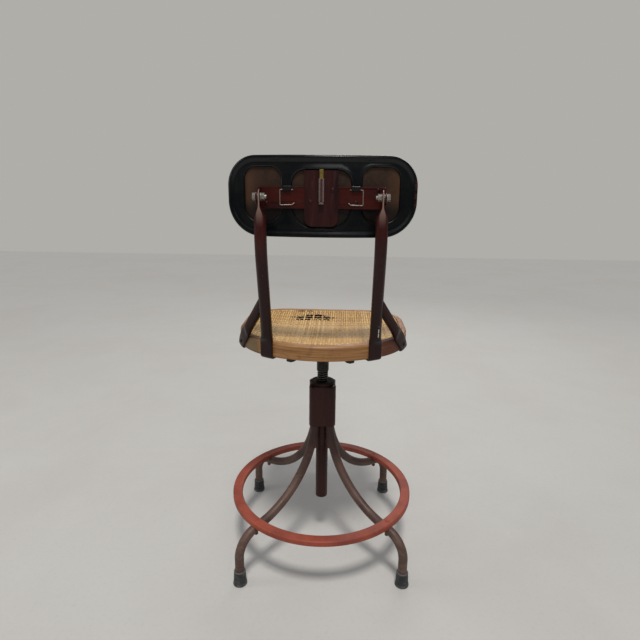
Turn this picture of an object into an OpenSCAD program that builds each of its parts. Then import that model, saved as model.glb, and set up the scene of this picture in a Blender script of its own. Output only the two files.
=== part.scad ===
/* [Seat] */
// Height of the top of the wooden rim above the floor, as the chair stands
seat_h = 605; // [596:1:640]
// Width of the seat across the rim
seat_w = 414; // [390:2:440]
// Reach of the seat behind the spindle
seat_back = 184; // [174:1:196]
// Reach of the seat in front of the spindle
seat_front = 175; // [165:1:190]
// Radius of the curve along the back of the rim
back_curve_r = 244; // [232:2:260]
// Radius of the curve at each side of the rim
side_curve_r = 170; // [160:1:176]
// Radius of the two front corners of the rim
corner_r = 105; // [85:1:120]
// Thickness of the bent wood, from outside to inside
rim_w = 26; // [22:1:32]
// Height of the bent wood
rim_h = 35; // [30:1:42]
// Radius of the rounded shoulder along the top outer edge
rim_round = 10; // [5:1:14]
// Thickness of the woven cane
cane_t = 2.4; // [1.6:0.2:3.4]
// Width of bare wood outside the cane
cane_inset = 15; // [13:1:18]
// Depth of the dip in the middle of the cane
cane_sag = 8; // [3:1:14]

/* [Tubes] */
// Outer diameter of the bent tubes
tube_d = 22.2; // [20:0.2:25]
// Wall of the bent tubes
tube_wall = 1.6; // [1.2:0.1:2.4]
// Radius of the circle that the four feet stand on
foot_circle_r = 280; // [276:1:300]
// Turn of the base under the seat, as the chair stands
base_turn = 2.4; // [-5:0.2:5]

/* [Hub] */
// Height of the underside of the hub casting above the floor
hub_z = 338; // [330:1:350]
// Height of the hub casting
hub_h = 110; // [100:1:120]
// Distance from the spindle axis to the axis of each leg inside the hub
leg_top_r = 28.5; // [28:0.1:31]
// Wall of the casting round each leg
hub_wall = 3.1; // [2.5:0.1:5]
// Outer diameter of the column tube
column_d = 32; // [31.4:0.1:32.6]
// Height of the open lower end of the column tube above the floor
column_z = 118; // [106:1:119]
// Length of the threaded barrel of the hub nut
nut_l = 60; // [54:1:66]
// Thickness of the flange on top of the hub nut
nut_flange_t = 8; // [5:0.5:10]

/* [Spindle] */
// Outer diameter of the spindle thread
screw_d = 28; // [26:0.2:28.4]
// Length of the spindle thread below the collar
screw_l = 326; // [300:1:330]
// Outer diameter of the smooth collar
collar_d = 31; // [30:0.5:36]
// Length of the smooth collar below the seat iron
collar_l = 81; // [70:1:84]
// Diameter of the reduced end that carries the stop washer
end_d = 14; // [12:0.5:16]

/* [Foot ring] */
// Outer diameter of the foot ring
ring_d = 480; // [460:2:490]
// Width of the ring section
ring_w = 25; // [22:1:30]
// Height of the ring section
ring_h = 13; // [11:0.5:18]
// Wall of the ring section
ring_wall = 2.4; // [1.6:0.1:3]

/* [Back posts] */
// Distance of each post from the middle of the chair
post_x = 120.7; // [112:0.1:126]
// Outer diameter of the two back posts
back_tube_d = 25; // [22:0.2:27]
// Distance of the backrest pivot behind the spindle
pivot_y = 216; // [210:1:224]
// Height of the backrest pivot above the top of the rim
pivot_h = 317; // [300:1:340]
// Thickness of the flattened top of each post
blade_t = 4; // [3.4:0.2:5]
// Width of the flattened top of each post
blade_w = 30; // [26:0.5:31]
// Thickness of the flattened lower ends of the posts and braces
tongue_t = 5; // [4:0.5:7]
// Width of the flattened lower ends of the posts and braces
tongue_w = 33; // [28:1:36]
// Height above the top of the rim at which a brace meets its post
brace_h = 104; // [96:1:112]

/* [Backrest] */
// Width of the pressed back shell
shell_w = 391; // [371:2:401]
// Height of the pressed back shell
shell_h = 161; // [152:1:168]
// Radius of its upper corners
shell_r = 60; // [52:1:70]
// Radius of its lower corners
shell_low_r = 71; // [60:1:74]
// Radius of the curve that it follows round the sitter
shell_curve_r = 520; // [470:10:700]
// Thickness of the pressed sheet
sheet_t = 1.6; // [1.2:0.1:2.2]
// Depth of the rim that is turned forward all round
flange_d = 13; // [10:0.5:16]
// Height of the crossbar
bar_h = 43; // [38:1:46]
// Distance of the middle of the crossbar below the pivot
bar_drop = 1.5; // [0:0.5:3]
// Thickness of the crossbar
bar_t = 3; // [2.4:0.2:4]
// Radius of the rounded ears at both ends of the crossbar
ear_r = 13; // [11:0.5:15]
// Thickness of the pad in the shell
pad_t = 20; // [14:1:28]
// Width of the centre plate
plate_w = 68; // [62:1:74]
// Thickness of the centre plate
plate_t = 2.4; // [1.8:0.2:3]
// Diameter of the spring wire clips
wire_d = 2; // [1.6:0.1:2.2]

/* [Fasteners and feet] */
// Diameter of the pivot bolts
pivot_d = 8; // [6:0.5:9]
// Diameter of the small bolts and screws
bolt_d = 5; // [4:0.5:6]
// Diameter of each rubber foot where it meets the floor
foot_d = 34; // [32:1:40]
// Height of each rubber foot
foot_h = 38; // [34:1:44]

/* [Hidden] */
$fn = 64;

// Clearances
slip = 0.1;
press = 0.05;
gap = 0.4;
curve_gap = 0.25;
bend_gap = 0.1;
bend_swell = 0.3;
flat_swell = 0.8;

// Base
leg_names = ["leg_rear_left", "leg_rear_right", "leg_front_right", "leg_front_left"];
foot_names = ["foot_rear_left", "foot_rear_right", "foot_front_right", "foot_front_left"];
hub_top = hub_z + hub_h;
leg_in_hub = hub_h - 6;
bend1_r = 40;
bend1_a = 12;
bend2_r = 238;
bend2_a = 80;
bend3_r = 60;
leg_drop = 10;
leg_neck = 3;
bend_reach = bend1_r * (1 - cos(bend1_a)) + leg_neck * sin(bend1_a)
    + bend2_r * (cos(bend1_a) - cos(bend2_a)) + bend3_r * (1 - cos(bend2_a));
slope_l = (foot_circle_r - leg_top_r - bend_reach) / sin(bend2_a);
bend_drop = bend1_r * sin(bend1_a) + leg_neck * cos(bend1_a) + bend2_r * (sin(bend2_a) - sin(bend1_a))
    + slope_l * cos(bend2_a) + bend3_r * sin(bend2_a);
ferrule_floor = 6;
shin_l = hub_z - leg_drop - bend_drop - ferrule_floor;

// Place where the middle of the ring section crosses a leg
ring_mid_r = ring_d / 2 - ring_w / 2;
bend2_start_r = leg_top_r + bend1_r * (1 - cos(bend1_a)) + leg_neck * sin(bend1_a);
bend2_start_z = hub_z - leg_drop - bend1_r * sin(bend1_a) - leg_neck * cos(bend1_a);
ring_cos = cos(bend1_a) - (ring_mid_r - bend2_start_r) / bend2_r;
bend2_end_r = bend2_start_r + bend2_r * (cos(bend1_a) - cos(bend2_a));
bend2_end_z = bend2_start_z - bend2_r * (sin(bend2_a) - sin(bend1_a));
ring_on_bend = ring_mid_r < bend2_end_r;
bend3_start_r = bend2_end_r + slope_l * sin(bend2_a);
bend3_start_z = bend2_end_z - slope_l * cos(bend2_a);
ring_on_knee = ring_mid_r > bend3_start_r;
knee_a = acos(min(1, cos(bend2_a) + max(0, ring_mid_r - bend3_start_r) / bend3_r));
ring_a = ring_on_bend ? acos(ring_cos) : ring_on_knee ? knee_a : bend2_a;
ring_leg_z = ring_on_bend ? bend2_start_z - bend2_r * (sin(ring_a) - sin(bend1_a))
    : ring_on_knee ? bend3_start_z - bend3_r * (sin(bend2_a) - sin(knee_a))
    : bend2_end_z - (ring_mid_r - bend2_end_r) / tan(bend2_a);
ring_seat = 2.8;
ring_z = ring_leg_z + tube_d / 2 - ring_seat;

// Spindle
column_bore = 2 * (screw_d / 2 + 0.8);
nut_z = hub_top - nut_l;
rim_z = seat_h - rim_h;
iron_t = 5;
iron_z = rim_z - iron_t;
collar_z = iron_z - collar_l;
shoulder_z = collar_z - screw_l;
washer_t = 3;
stop_nut_h = 9;
stop_nut_af = end_d + 8;
screw_end_z = shoulder_z - washer_t - stop_nut_h - 3;
collar_flange_r = collar_d + 5;
collar_fillet = 4;

// Seat outline, a chain of arcs that run into each other
seat_half = seat_w / 2;
arc_a = asin((seat_half - side_curve_r) / (back_curve_r - side_curve_r));
back_c = seat_back - back_curve_r;
side_cx = seat_half - side_curve_r;
side_cy = back_c + (back_curve_r - side_curve_r) * cos(arc_a);
corner_cx = seat_half - corner_r;
corner_cy = corner_r - seat_front;

// A point on the outer face of the rim, at angle a on its side curve
function rim_point(a) = [side_cx + side_curve_r * cos(a), side_cy + side_curve_r * sin(a)];

// Seat iron
iron_x = 66;
iron_w = 20;
iron_back = back_c + sqrt(pow(back_curve_r, 2) - pow(iron_x, 2)) - iron_w / 2;
iron_front = seat_front - rim_w / 2;
iron_ends = [[iron_x, iron_back], [-iron_x, iron_back], [iron_x, -iron_front], [-iron_x, -iron_front]];
screw_head_h = 3;
screw_head_d = 2 * bolt_d;
wood_screw_l = 18;

// Posts
pivot_z = seat_h + pivot_h;
post_rim_y = back_c + sqrt(pow(back_curve_r, 2) - pow(post_x, 2));
post_turn = asin(post_x / back_curve_r);
post_n = [sin(post_turn), cos(post_turn)];
post_foot = [post_x, post_rim_y] + (press + tongue_t / 2) * post_n;
post_foot_l = 26;
post_screw = [post_x, post_rim_y] - rim_w / 2 * post_n;
post_low_y = post_foot[1];
tongue_top = seat_h - 4;
post_lean_z = seat_h + 18;
post_bend_r = 190;
blade_end = ear_r + 2.5;
blade_rise = 4.5;
loft_l = 28;
post_top_tube_z = pivot_z - blade_end - loft_l;

// Lean of a post between the rim and its upper bend: solved so that the
// bend ends straight below the pivot
post_top_l = 30;
lean_rise = post_top_tube_z - post_top_l - post_lean_z;
lean_run = pivot_y - post_low_y;
lean_c = sqrt(pow(lean_rise, 2) + pow(lean_run - post_bend_r, 2));
post_lean = asin(post_bend_r / lean_c) - atan2(post_bend_r - lean_run, lean_rise);
lean_l = (lean_rise - post_bend_r * sin(post_lean)) / cos(post_lean);

// Braces
brace_a = 27;
brace_slant = 46;
brace_mid_z = seat_h - rim_h / 2;
function brace_turn(z) = brace_a + (z - brace_mid_z) * tan(brace_slant) / side_curve_r * 180 / PI;
brace_flat_top = seat_h + 8;
brace_top_a = brace_turn(brace_flat_top);
brace_foot_a = brace_turn(rim_z);
brace_foot_in = 22;
brace_screw_z = rim_z + 13;
brace_out = (curve_gap + tongue_t / 2) * [cos(brace_top_a), sin(brace_top_a)];
brace_low = concat(rim_point(brace_top_a) + brace_out, brace_flat_top);
brace_neck = 26;
brace_z = seat_h + brace_h;
brace_top_y = post_low_y + (brace_z - post_lean_z) * tan(post_lean);
brace_top = [post_x, brace_top_y, brace_z];

// Pivots of the backrest
head_h = 5.5;
nut_h = 6.5;
small_washer_t = 1.4;
stud_out = 3.5;

// Backrest
bar_gap = 20;
bar_y = pivot_y - bar_gap - bar_t;
bar_top = pivot_z - bar_drop + bar_h / 2;
bar_half = post_x + blade_t / 2 + gap + small_washer_t + gap + bar_t;
ear_root = 2;
web_x = 70.6;
web_w = 22.8;
web_in_x = web_x - web_w / 2;
web_depth = 2.6;
shell_back_y = bar_y - slip + shell_curve_r - sqrt(pow(shell_curve_r, 2) - pow(web_in_x, 2)) + web_depth;
shell_z = pivot_z;
curve_cy = shell_back_y - shell_curve_r;
side_open_w = 75.4;
side_open_h = 108;
side_open_x = web_x + web_w / 2 + side_open_w / 2;
side_open_z = shell_z + 3.8;
mid_open_w = 2 * web_in_x;
mid_open_h = 112;
mid_open_z = shell_z - 4.5;
panel_t = 3;
panel_depth = max(web_depth + sheet_t + gap, shell_back_y - bar_y + slip);
tab_x0 = web_in_x + 0.4;
tab_x1 = web_in_x + web_w - 4;
tab_top = bar_top + slip;
clip_z = bar_top - 6;
plate_y = bar_y + bar_t;
plate_z0 = shell_z - 58;
plate_z1 = shell_z + 51;
catch_w = 10.2;
channel_wall = 1.2;
channel_depth = 5;
channel_z0 = shell_z - 9.5;
channel_z1 = shell_z + 35;

function shell_y(x, d = 0) = curve_cy + sqrt(pow(shell_curve_r + d, 2) - x * x);

// Tubes

// A bent bar from a list of [straight length, bend radius, bend angle].
// It starts along +Z and a positive angle bends it towards +X. A faint round swell
// joins each straight to the bend beside it, as a bending tool leaves it.
module bar_run(steps, d, i = 0) {
    if (i < len(steps)) {
        s = steps[i];
        side = s[2] < 0 ? 1 : 0;
        turn = abs(s[2]);
        back = i > 0 ? bend_gap : 0;
        ahead = turn > 0 ? bend_gap : 0;
        swell_d = d + min(bend_swell, d / 20);
        translate([0, 0, back]) cylinder(h = s[0] - back - ahead, d = d);
        if (i > 0) sphere(d = swell_d);
        if (turn > 0) translate([0, 0, s[0]]) {
            sphere(d = swell_d);
            mirror([side, 0, 0]) translate([s[1], 0, 0]) mirror([1, 0, 0]) rotate([90, 0, 0])
                rotate_extrude(angle = turn) translate([s[1], 0]) circle(d = d);
            translate([(1 - 2 * side) * s[1] * (1 - cos(turn)), 0, s[1] * sin(turn)])
                rotate([0, s[2], 0]) bar_run(steps, d, i + 1);
        }
    }
}

// A tube pressed flat, lying across X, with round edges
module flat2d(w, t) {
    square([w - t, t], center = true);
    for (s = [-1, 1]) translate([s * (w - t) / 2, 0]) circle(d = t);
}

// Thin end slices for a hull that runs from a tube to a flat. The first stands a
// little proud of the tube, and the second a little inside the flat.
module tube_slice(d) {
    cylinder(h = 1, d = d + flat_swell, $fn = 32);
}

module flat_slice(w, t) {
    linear_extrude(1) flat2d(w - bend_swell, t - bend_swell, $fn = 32);
}

module hex(af, h) {
    cylinder(h = h, d = af / cos(30), $fn = 6);
}

// Base

module at_leg(i) {
    rotate([0, 0, 45 + 90 * i + base_turn]) children();
}

leg_steps = [[leg_in_hub + leg_drop, bend1_r, bend1_a], [leg_neck, bend2_r, bend2_a - bend1_a],
    [slope_l, bend3_r, -bend2_a], [shin_l, 0, 0]];

module leg_solid(i, d) {
    at_leg(i) translate([leg_top_r, 0, hub_z + leg_in_hub]) rotate([180, 0, 0]) bar_run(leg_steps, d);
}

module leg(i) {
    color([0.34, 0.22, 0.19])
    difference() {
        leg_solid(i, tube_d);
        leg_solid(i, tube_d - 2 * tube_wall);
        at_leg(i) translate([ring_mid_r, 0, ring_leg_z - tube_d]) cylinder(h = 2 * tube_d, d = bolt_d + slip);
    }
}

module rubber_foot(i) {
    sole = 5;
    color([0.1, 0.11, 0.12])
    at_leg(i) translate([foot_circle_r, 0, 0])
    difference() {
        rotate_extrude() polygon([[0, 0], [foot_d / 2 - 1.5, 0], [foot_d / 2, 1.5], [foot_d / 2, sole],
            [foot_d / 2 - 1, sole + 1.5], [tube_d / 2 + 3, foot_h - 1], [tube_d / 2 + 2, foot_h],
            [0, foot_h]]);
        translate([0, 0, ferrule_floor]) cylinder(h = foot_h, d = tube_d + 2 * press);
    }
}

module hub_casting() {
    color([0.2, 0.1, 0.11])
    translate([0, 0, hub_z])
    difference() {
        union() {
            cylinder(h = hub_h, r = leg_top_r - 4);
            for (i = [0:3]) at_leg(i) translate([leg_top_r, 0, 0])
                cylinder(h = hub_h, d = tube_d + 2 * hub_wall);
        }
        translate([0, 0, -1]) cylinder(h = hub_h + 2, d = column_d + 2 * press);
        for (i = [0:3]) at_leg(i) translate([leg_top_r, 0, -1])
            cylinder(h = leg_in_hub + 1, d = tube_d + 2 * press);
    }
}

module hub_nut() {
    color([0.16, 0.09, 0.09])
    difference() {
        union() {
            translate([0, 0, nut_z]) cylinder(h = nut_l, d = column_d);
            translate([0, 0, hub_top]) rotate_extrude() polygon([[0, 0], [leg_top_r + 2, 0],
                [leg_top_r + 2, nut_flange_t - 1.5], [leg_top_r + 0.5, nut_flange_t], [0, nut_flange_t]]);
        }
        translate([0, 0, nut_z - 1]) cylinder(h = nut_l + nut_flange_t + 2, d = screw_d + slip);
    }
}

module column_tube() {
    color([0.2, 0.1, 0.11])
    translate([0, 0, column_z]) linear_extrude(nut_z - column_z) difference() {
        circle(d = column_d);
        circle(d = column_bore);
    }
}

// The ring is an inverted channel, notched to sit down over the four legs
module foot_ring() {
    r = 3.5;
    color([0.6, 0.27, 0.2])
    difference() {
        translate([0, 0, ring_z]) rotate_extrude($fn = 128) translate([ring_d / 2 - ring_w, 0]) difference() {
            union() {
                square([ring_w, ring_h - r]);
                translate([r, ring_h - r]) square([ring_w - 2 * r, r]);
                for (x = [r, ring_w - r]) translate([x, ring_h - r]) circle(r = r);
            }
            translate([ring_wall, -1]) square([ring_w - 2 * ring_wall, ring_h - ring_wall + 1]);
        }
        for (i = [0:3]) leg_solid(i, tube_d + 2 * press);
        for (i = [0:3]) at_leg(i) translate([ring_mid_r, 0, ring_z - 1])
            cylinder(h = ring_h + 2, d = bolt_d + slip);
    }
}

// A level nut touches the sloping tube with one corner
ring_nut_af = 1.8 * bolt_d;
ring_nut_h = 5.5;
ring_nut_r = ring_nut_af / cos(30) / 2;
knee_sag = pow(ring_nut_r, 2) / (bend3_r - tube_d / 2);
ring_nut_top = ring_leg_z - tube_d / 2 / sin(ring_a) - ring_nut_r / tan(ring_a)
    - (ring_mid_r + ring_nut_r > bend3_start_r ? knee_sag : 0) - slip;
ring_bolt_z = ring_nut_top - ring_nut_h - 2;

module ring_bolts() {
    color([0.35, 0.2, 0.17])
    for (i = [0:3]) at_leg(i) translate([ring_mid_r, 0, 0]) {
        translate([0, 0, ring_bolt_z]) cylinder(h = ring_z + ring_h - ring_bolt_z, d = bolt_d);
        translate([0, 0, ring_z + ring_h]) rotate_extrude() polygon([[0, 0], [bolt_d, 0],
            [bolt_d * 0.8, 1.4], [bolt_d * 0.4, 2], [0, 2.1]]);
    }
}

module ring_nuts() {
    color([0.2, 0.14, 0.13])
    for (i = [0:3]) at_leg(i) translate([ring_mid_r, 0, ring_nut_top - ring_nut_h]) difference() {
        hex(ring_nut_af, ring_nut_h);
        translate([0, 0, -1]) cylinder(h = ring_nut_h + 2, d = bolt_d + 2 * press);
    }
}

// Spindle

module stop_washer() {
    color([0.3, 0.3, 0.31])
    translate([0, 0, shoulder_z - washer_t]) difference() {
        cylinder(h = washer_t, d = column_bore - 2 * slip);
        translate([0, 0, -1]) cylinder(h = washer_t + 2, d = end_d + slip);
    }
}

module spindle_screw() {
    color([0.1, 0.1, 0.11])
    union() {
        translate([0, 0, shoulder_z]) cylinder(h = iron_z - shoulder_z - 1, d = screw_d);
        translate([0, 0, screw_end_z]) cylinder(h = shoulder_z - screw_end_z, d = end_d);
    }
}

module stop_nut() {
    color([0.3, 0.3, 0.31])
    translate([0, 0, shoulder_z - washer_t - slip - stop_nut_h]) difference() {
        hex(stop_nut_af, stop_nut_h);
        translate([0, 0, -1]) cylinder(h = stop_nut_h + 2, d = end_d + 2 * press);
    }
}

module spindle_collar() {
    flange_t = 6;
    color([0.1, 0.1, 0.11])
    difference() {
        union() {
            translate([0, 0, collar_z]) cylinder(h = collar_l, d = collar_d);
            translate([0, 0, iron_z - flange_t]) rotate_extrude() polygon([
                [0, 0], [collar_d / 2 + collar_fillet, 0],
                [collar_flange_r, flange_t / 2], [collar_flange_r, flange_t], [0, flange_t]]);
        }
        translate([0, 0, collar_z - 1]) cylinder(h = collar_l, d = screw_d + 2 * press);
    }
}

module iron_arm(p) {
    l = norm(p);
    rotate([0, 0, atan2(p[1], p[0])]) {
        translate([0, -iron_w / 2]) square([l, iron_w]);
        translate([l, 0]) circle(d = iron_w);
    }
}

module seat_iron() {
    color([0.12, 0.11, 0.11])
    translate([0, 0, iron_z]) linear_extrude(iron_t) difference() {
        union() {
            circle(r = collar_flange_r + 2);
            for (p = iron_ends) iron_arm(p);
        }
        for (p = iron_ends) translate(p) circle(d = bolt_d + slip);
    }
}

module wood_screw() {
    rotate_extrude() polygon([[0, -screw_head_h], [screw_head_d * 0.3, -screw_head_h],
        [screw_head_d / 2, -1], [screw_head_d / 2, 0], [0, 0]]);
    cylinder(h = wood_screw_l, d = bolt_d);
}

module iron_screws() {
    color([0.12, 0.11, 0.11])
    for (p = iron_ends) translate([p[0], p[1], iron_z]) wood_screw();
}

// Seat

// Section of the rim, as points [distance in from the outer face, height], anticlockwise
rim_section = concat(
    [for (k = [0:3]) let (a = 90 * k / 3) [4 - 4 * sin(a), 4 - 4 * cos(a)]],
    [for (k = [0:5]) let (a = 90 * k / 5) [rim_round * (1 - cos(a)), rim_h - rim_round * (1 - sin(a))]],
    [[cane_inset, rim_h], [cane_inset, rim_h - cane_t], [rim_w, rim_h - cane_t],
    [rim_w, 3], [rim_w - 3, 0]]);

// Points of the seat outline drawn in by o, anticlockwise from the right, with
// the steps along each arc multiplied by k
function arc_points(c, r, a0, a1, n) = [for (i = [0:n]) let (a = a0 + (a1 - a0) * i / n)
    [c[0] + r * cos(a), c[1] + r * sin(a)]];

function seat_points(o, k = 1) = concat(
    arc_points([side_cx, side_cy], side_curve_r - o, 0, 90 - arc_a, 5 * k),
    arc_points([0, back_c], back_curve_r - o, 90 - arc_a + 3, 87 + arc_a, 5 * k),
    arc_points([-side_cx, side_cy], side_curve_r - o, 90 + arc_a, 180, 5 * k),
    arc_points([-corner_cx, corner_cy], corner_r - o, 180, 270, 6 * k),
    arc_points([corner_cx, corner_cy], corner_r - o, 270, 360, 6 * k));

// Joins rings of equal length into a skin that closes on itself both ways
module closed_sweep(rings) {
    n = len(rings[0]);
    m = len(rings);
    faces = [for (j = [0:m - 1]) for (i = [0:n - 1])
        let (a = j * n + i, b = j * n + (i + 1) % n,
            c = ((j + 1) % m) * n + (i + 1) % n, d = ((j + 1) % m) * n + i)
        each [[a, c, b], [a, d, c]]];
    polyhedron(points = [for (r = rings) each r], faces = faces, convexity = 6);
}

module seat_rim() {
    color([0.62, 0.42, 0.2])
    difference() {
        closed_sweep([for (q = rim_section) [for (p = seat_points(q[0], 2)) [p[0], p[1], rim_z + q[1]]]]);
        for (p = iron_ends) translate([p[0], p[1], rim_z - 1])
            cylinder(h = wood_screw_l - iron_t + 2, d = bolt_d + slip);
        for (s = [-1, 1]) translate([s * post_screw[0], post_screw[1], rim_z - 1])
            cylinder(h = wood_screw_l - tongue_t + 2, d = bolt_d + slip);
        for (m = [0, 1]) mirror([m, 0, 0]) brace_bolt_line() cylinder(h = 17, d = bolt_d + slip);
    }
}

// The cane is a thin dish: flat where it lies on the rim, dipped in the middle
module seat_cane() {
    edge = seat_points(cane_inset + press);
    reach = min(seat_half, seat_front, seat_back) - cane_inset;
    flat = 1 - (rim_w - cane_inset + 1) / reach;
    shares = [1, flat, 0.84, 0.7, 0.52, 0.34, 0.14];
    n = len(edge);
    m = len(shares);
    function drop(s) = s >= flat ? 0 : cane_sag * (1 - pow(s / flat, 2));
    top = [for (s = shares) for (p = edge) [p[0] * s, p[1] * s, seat_h - drop(s)]];
    under = [for (v = top) [v[0], v[1], v[2] - cane_t + press]];
    c1 = 2 * n * m;
    mid = [[0, 0, seat_h - cane_sag], [0, 0, seat_h - cane_sag - cane_t + press]];
    faces = concat(
        [for (j = [0:m - 2]) for (i = [0:n - 1]) let (a = j * n + i, b = j * n + (i + 1) % n)
            [a, a + n, b + n]],
        [for (j = [0:m - 2]) for (i = [0:n - 1]) let (a = j * n + i, b = j * n + (i + 1) % n)
            [a, b + n, b]],
        [for (i = [0:n - 1]) let (a = (m - 1) * n + i, b = (m - 1) * n + (i + 1) % n) [a, c1, b]],
        [for (j = [0:m - 2]) for (i = [0:n - 1])
            let (k = n * m, a = k + j * n + i, b = k + j * n + (i + 1) % n) [a, b + n, a + n]],
        [for (j = [0:m - 2]) for (i = [0:n - 1])
            let (k = n * m, a = k + j * n + i, b = k + j * n + (i + 1) % n) [a, b, b + n]],
        [for (i = [0:n - 1]) let (k = n * m, a = k + (m - 1) * n + i, b = k + (m - 1) * n + (i + 1) % n)
            [a, b, c1 + 1]],
        [for (i = [0:n - 1]) let (j = (i + 1) % n, k = n * m) [i, j, k + j]],
        [for (i = [0:n - 1]) let (j = (i + 1) % n, k = n * m) [i, k + j, k + i]]);
    color([0.85, 0.7, 0.42])
    polyhedron(points = concat(top, under, mid), faces = faces, convexity = 4);
}

// Posts and braces

// The round part of the left post: it leans back and then stands upright
module post_run(d) {
    translate([post_x, post_low_y, post_lean_z]) rotate([0, 0, 90]) rotate([0, post_lean, 0])
        bar_run([[lean_l, post_bend_r, -post_lean], [post_top_l, 0, 0]], d);
}

// Places its child on the left post's foot, with y pointing straight out of the rim
module at_post_foot() {
    translate([post_foot[0], post_foot[1], 0]) rotate([0, 0, -post_turn]) children();
}

module post(side) {
    color([0.2, 0.1, 0.11])
    mirror([side < 0 ? 1 : 0, 0, 0]) difference() {
        union() {
            // Foot, turned in under the rim
            at_post_foot() translate([0.5 - tongue_w / 2, tongue_t / 2 - 0.5 - post_foot_l, rim_z - tongue_t])
                cube([tongue_w - 1, post_foot_l, tongue_t]);
            // Flat tongue, up the outside of the rim
            at_post_foot() translate([0, 0, rim_z - tongue_t]) linear_extrude(tongue_top - rim_z + tongue_t)
                flat2d(tongue_w, tongue_t);
            hull() {
                at_post_foot() translate([0, 0, tongue_top - 1]) flat_slice(tongue_w, tongue_t);
                translate([post_x, post_low_y, post_lean_z]) rotate([-post_lean, 0, 0])
                    tube_slice(back_tube_d);
            }
            // Round tube, leaning back and then upright
            post_run(back_tube_d);
            // Flat blade that carries the pivot
            hull() {
                translate([post_x, pivot_y, post_top_tube_z - 1]) tube_slice(back_tube_d);
                translate([post_x, pivot_y, pivot_z - blade_end]) rotate([0, 0, 90])
                    flat_slice(blade_w, blade_t);
            }
            translate([post_x - blade_t / 2, pivot_y - blade_w / 2, pivot_z - blade_end])
                cube([blade_t, blade_w, blade_end + blade_rise]);
            translate([post_x - blade_t / 2, pivot_y, pivot_z + blade_rise]) rotate([0, 90, 0])
                cylinder(h = blade_t, d = blade_w);
        }
        post_run(back_tube_d - 2 * tube_wall);
        translate([post_x - blade_t, pivot_y, pivot_z]) rotate([0, 90, 0])
            cylinder(h = 2 * blade_t, d = pivot_d + 2 * press);
        translate([post_screw[0], post_screw[1], rim_z - tongue_t - 1])
            cylinder(h = tongue_t + 2, d = bolt_d + slip);
    }
}

// Places its child on the rim at angle a of its side curve, with y pointing straight out
module on_rim(a, z) {
    p = rim_point(a);
    translate([p[0], p[1], z]) rotate([0, 0, a - 90]) children();
}

// Places its child on the line of a brace's bolt, z pointing into the rim
module brace_bolt_line() {
    on_rim(brace_turn(brace_screw_z), brace_screw_z) rotate([90, 0, 0]) children();
}

// The flat end of a brace, slanting down over the curved side of the rim
module brace_flat() {
    intersection() {
        translate([side_cx, side_cy, rim_z - tongue_t]) rotate([0, 0, brace_foot_a - 20])
            rotate_extrude(angle = 60) translate([side_curve_r + curve_gap, 0])
            square([tongue_t, brace_flat_top - rim_z + tongue_t + tongue_w / 2]);
        on_rim(brace_a, brace_mid_z) rotate([0, -brace_slant, 0])
            translate([-tongue_w / 2, -rim_w, -2 * rim_h])
            cube([tongue_w, 2 * rim_w, 2 * rim_h + (brace_flat_top - brace_mid_z) / cos(brace_slant) - 0.5]);
    }
}

// The foot of a brace, folded in under the rim
module brace_sole() {
    half = tongue_w / cos(brace_slant) / 2;
    back = brace_foot_in * tan(brace_slant);
    on_rim(brace_foot_a, rim_z - tongue_t) linear_extrude(tongue_t) polygon([
        [-half, tongue_t / 2], [-half, 0], [back - half, -brace_foot_in],
        [back + half, -brace_foot_in], [half, 0], [half, tongue_t / 2]]);
}

module brace(side) {
    run = brace_top - brace_low;
    l = norm(run);
    tilt = acos(run[2] / l);
    head = atan2(run[1], run[0]);
    color([0.18, 0.1, 0.1])
    mirror([side < 0 ? 1 : 0, 0, 0]) difference() {
        union() {
            brace_flat();
            brace_sole();
            hull() {
                translate(brace_low) rotate([0, 0, brace_top_a - 90]) rotate([0, -brace_slant, 0])
                    translate([0, 0, -1]) linear_extrude(1)
                    flat2d(tongue_w + flat_swell, tongue_t + 2 * flat_swell, $fn = 32);
                translate(brace_low) rotate([0, tilt, head]) translate([0, 0, brace_neck]) tube_slice(tube_d);
            }
            translate(brace_low) rotate([0, tilt, head]) translate([0, 0, brace_neck])
                cylinder(h = l - brace_neck - 4, d = tube_d);
        }
        translate(brace_low) rotate([0, tilt, head]) translate([0, 0, brace_neck + 6])
            cylinder(h = l, d = tube_d - 2 * tube_wall);
        post_run(back_tube_d + 2 * press);
        brace_bolt_line() translate([0, 0, -20]) cylinder(h = 40, d = bolt_d + slip);
    }
}

module post_screws() {
    color([0.12, 0.11, 0.11])
    for (s = [-1, 1]) translate([s * post_screw[0], post_screw[1], rim_z - tongue_t]) wood_screw();
}

module brace_bolts() {
    color([0.35, 0.33, 0.32])
    for (m = [0, 1]) mirror([m, 0, 0]) brace_bolt_line() translate([0, 0, -tongue_t - curve_gap])
        wood_screw();
}

module pivot_bolt(side) {
    head_x = bar_half + small_washer_t;
    shaft_l = head_x - post_x + blade_t / 2 + small_washer_t + nut_h + stud_out;
    color([0.75, 0.75, 0.72])
    mirror([side < 0 ? 1 : 0, 0, 0]) translate([head_x, pivot_y, pivot_z]) rotate([0, -90, 0]) {
        translate([0, 0, -head_h]) hex(1.6 * pivot_d, head_h);
        cylinder(h = shaft_l, d = pivot_d);
    }
}

module pivot_nut(side) {
    color([0.75, 0.75, 0.72])
    mirror([side < 0 ? 1 : 0, 0, 0]) translate([post_x - blade_t / 2 - small_washer_t, pivot_y, pivot_z])
        rotate([0, -90, 0])
        difference() {
            hex(1.6 * pivot_d, nut_h);
            translate([0, 0, -1]) cylinder(h = nut_h + 2, d = pivot_d + 2 * press);
        }
}

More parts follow.
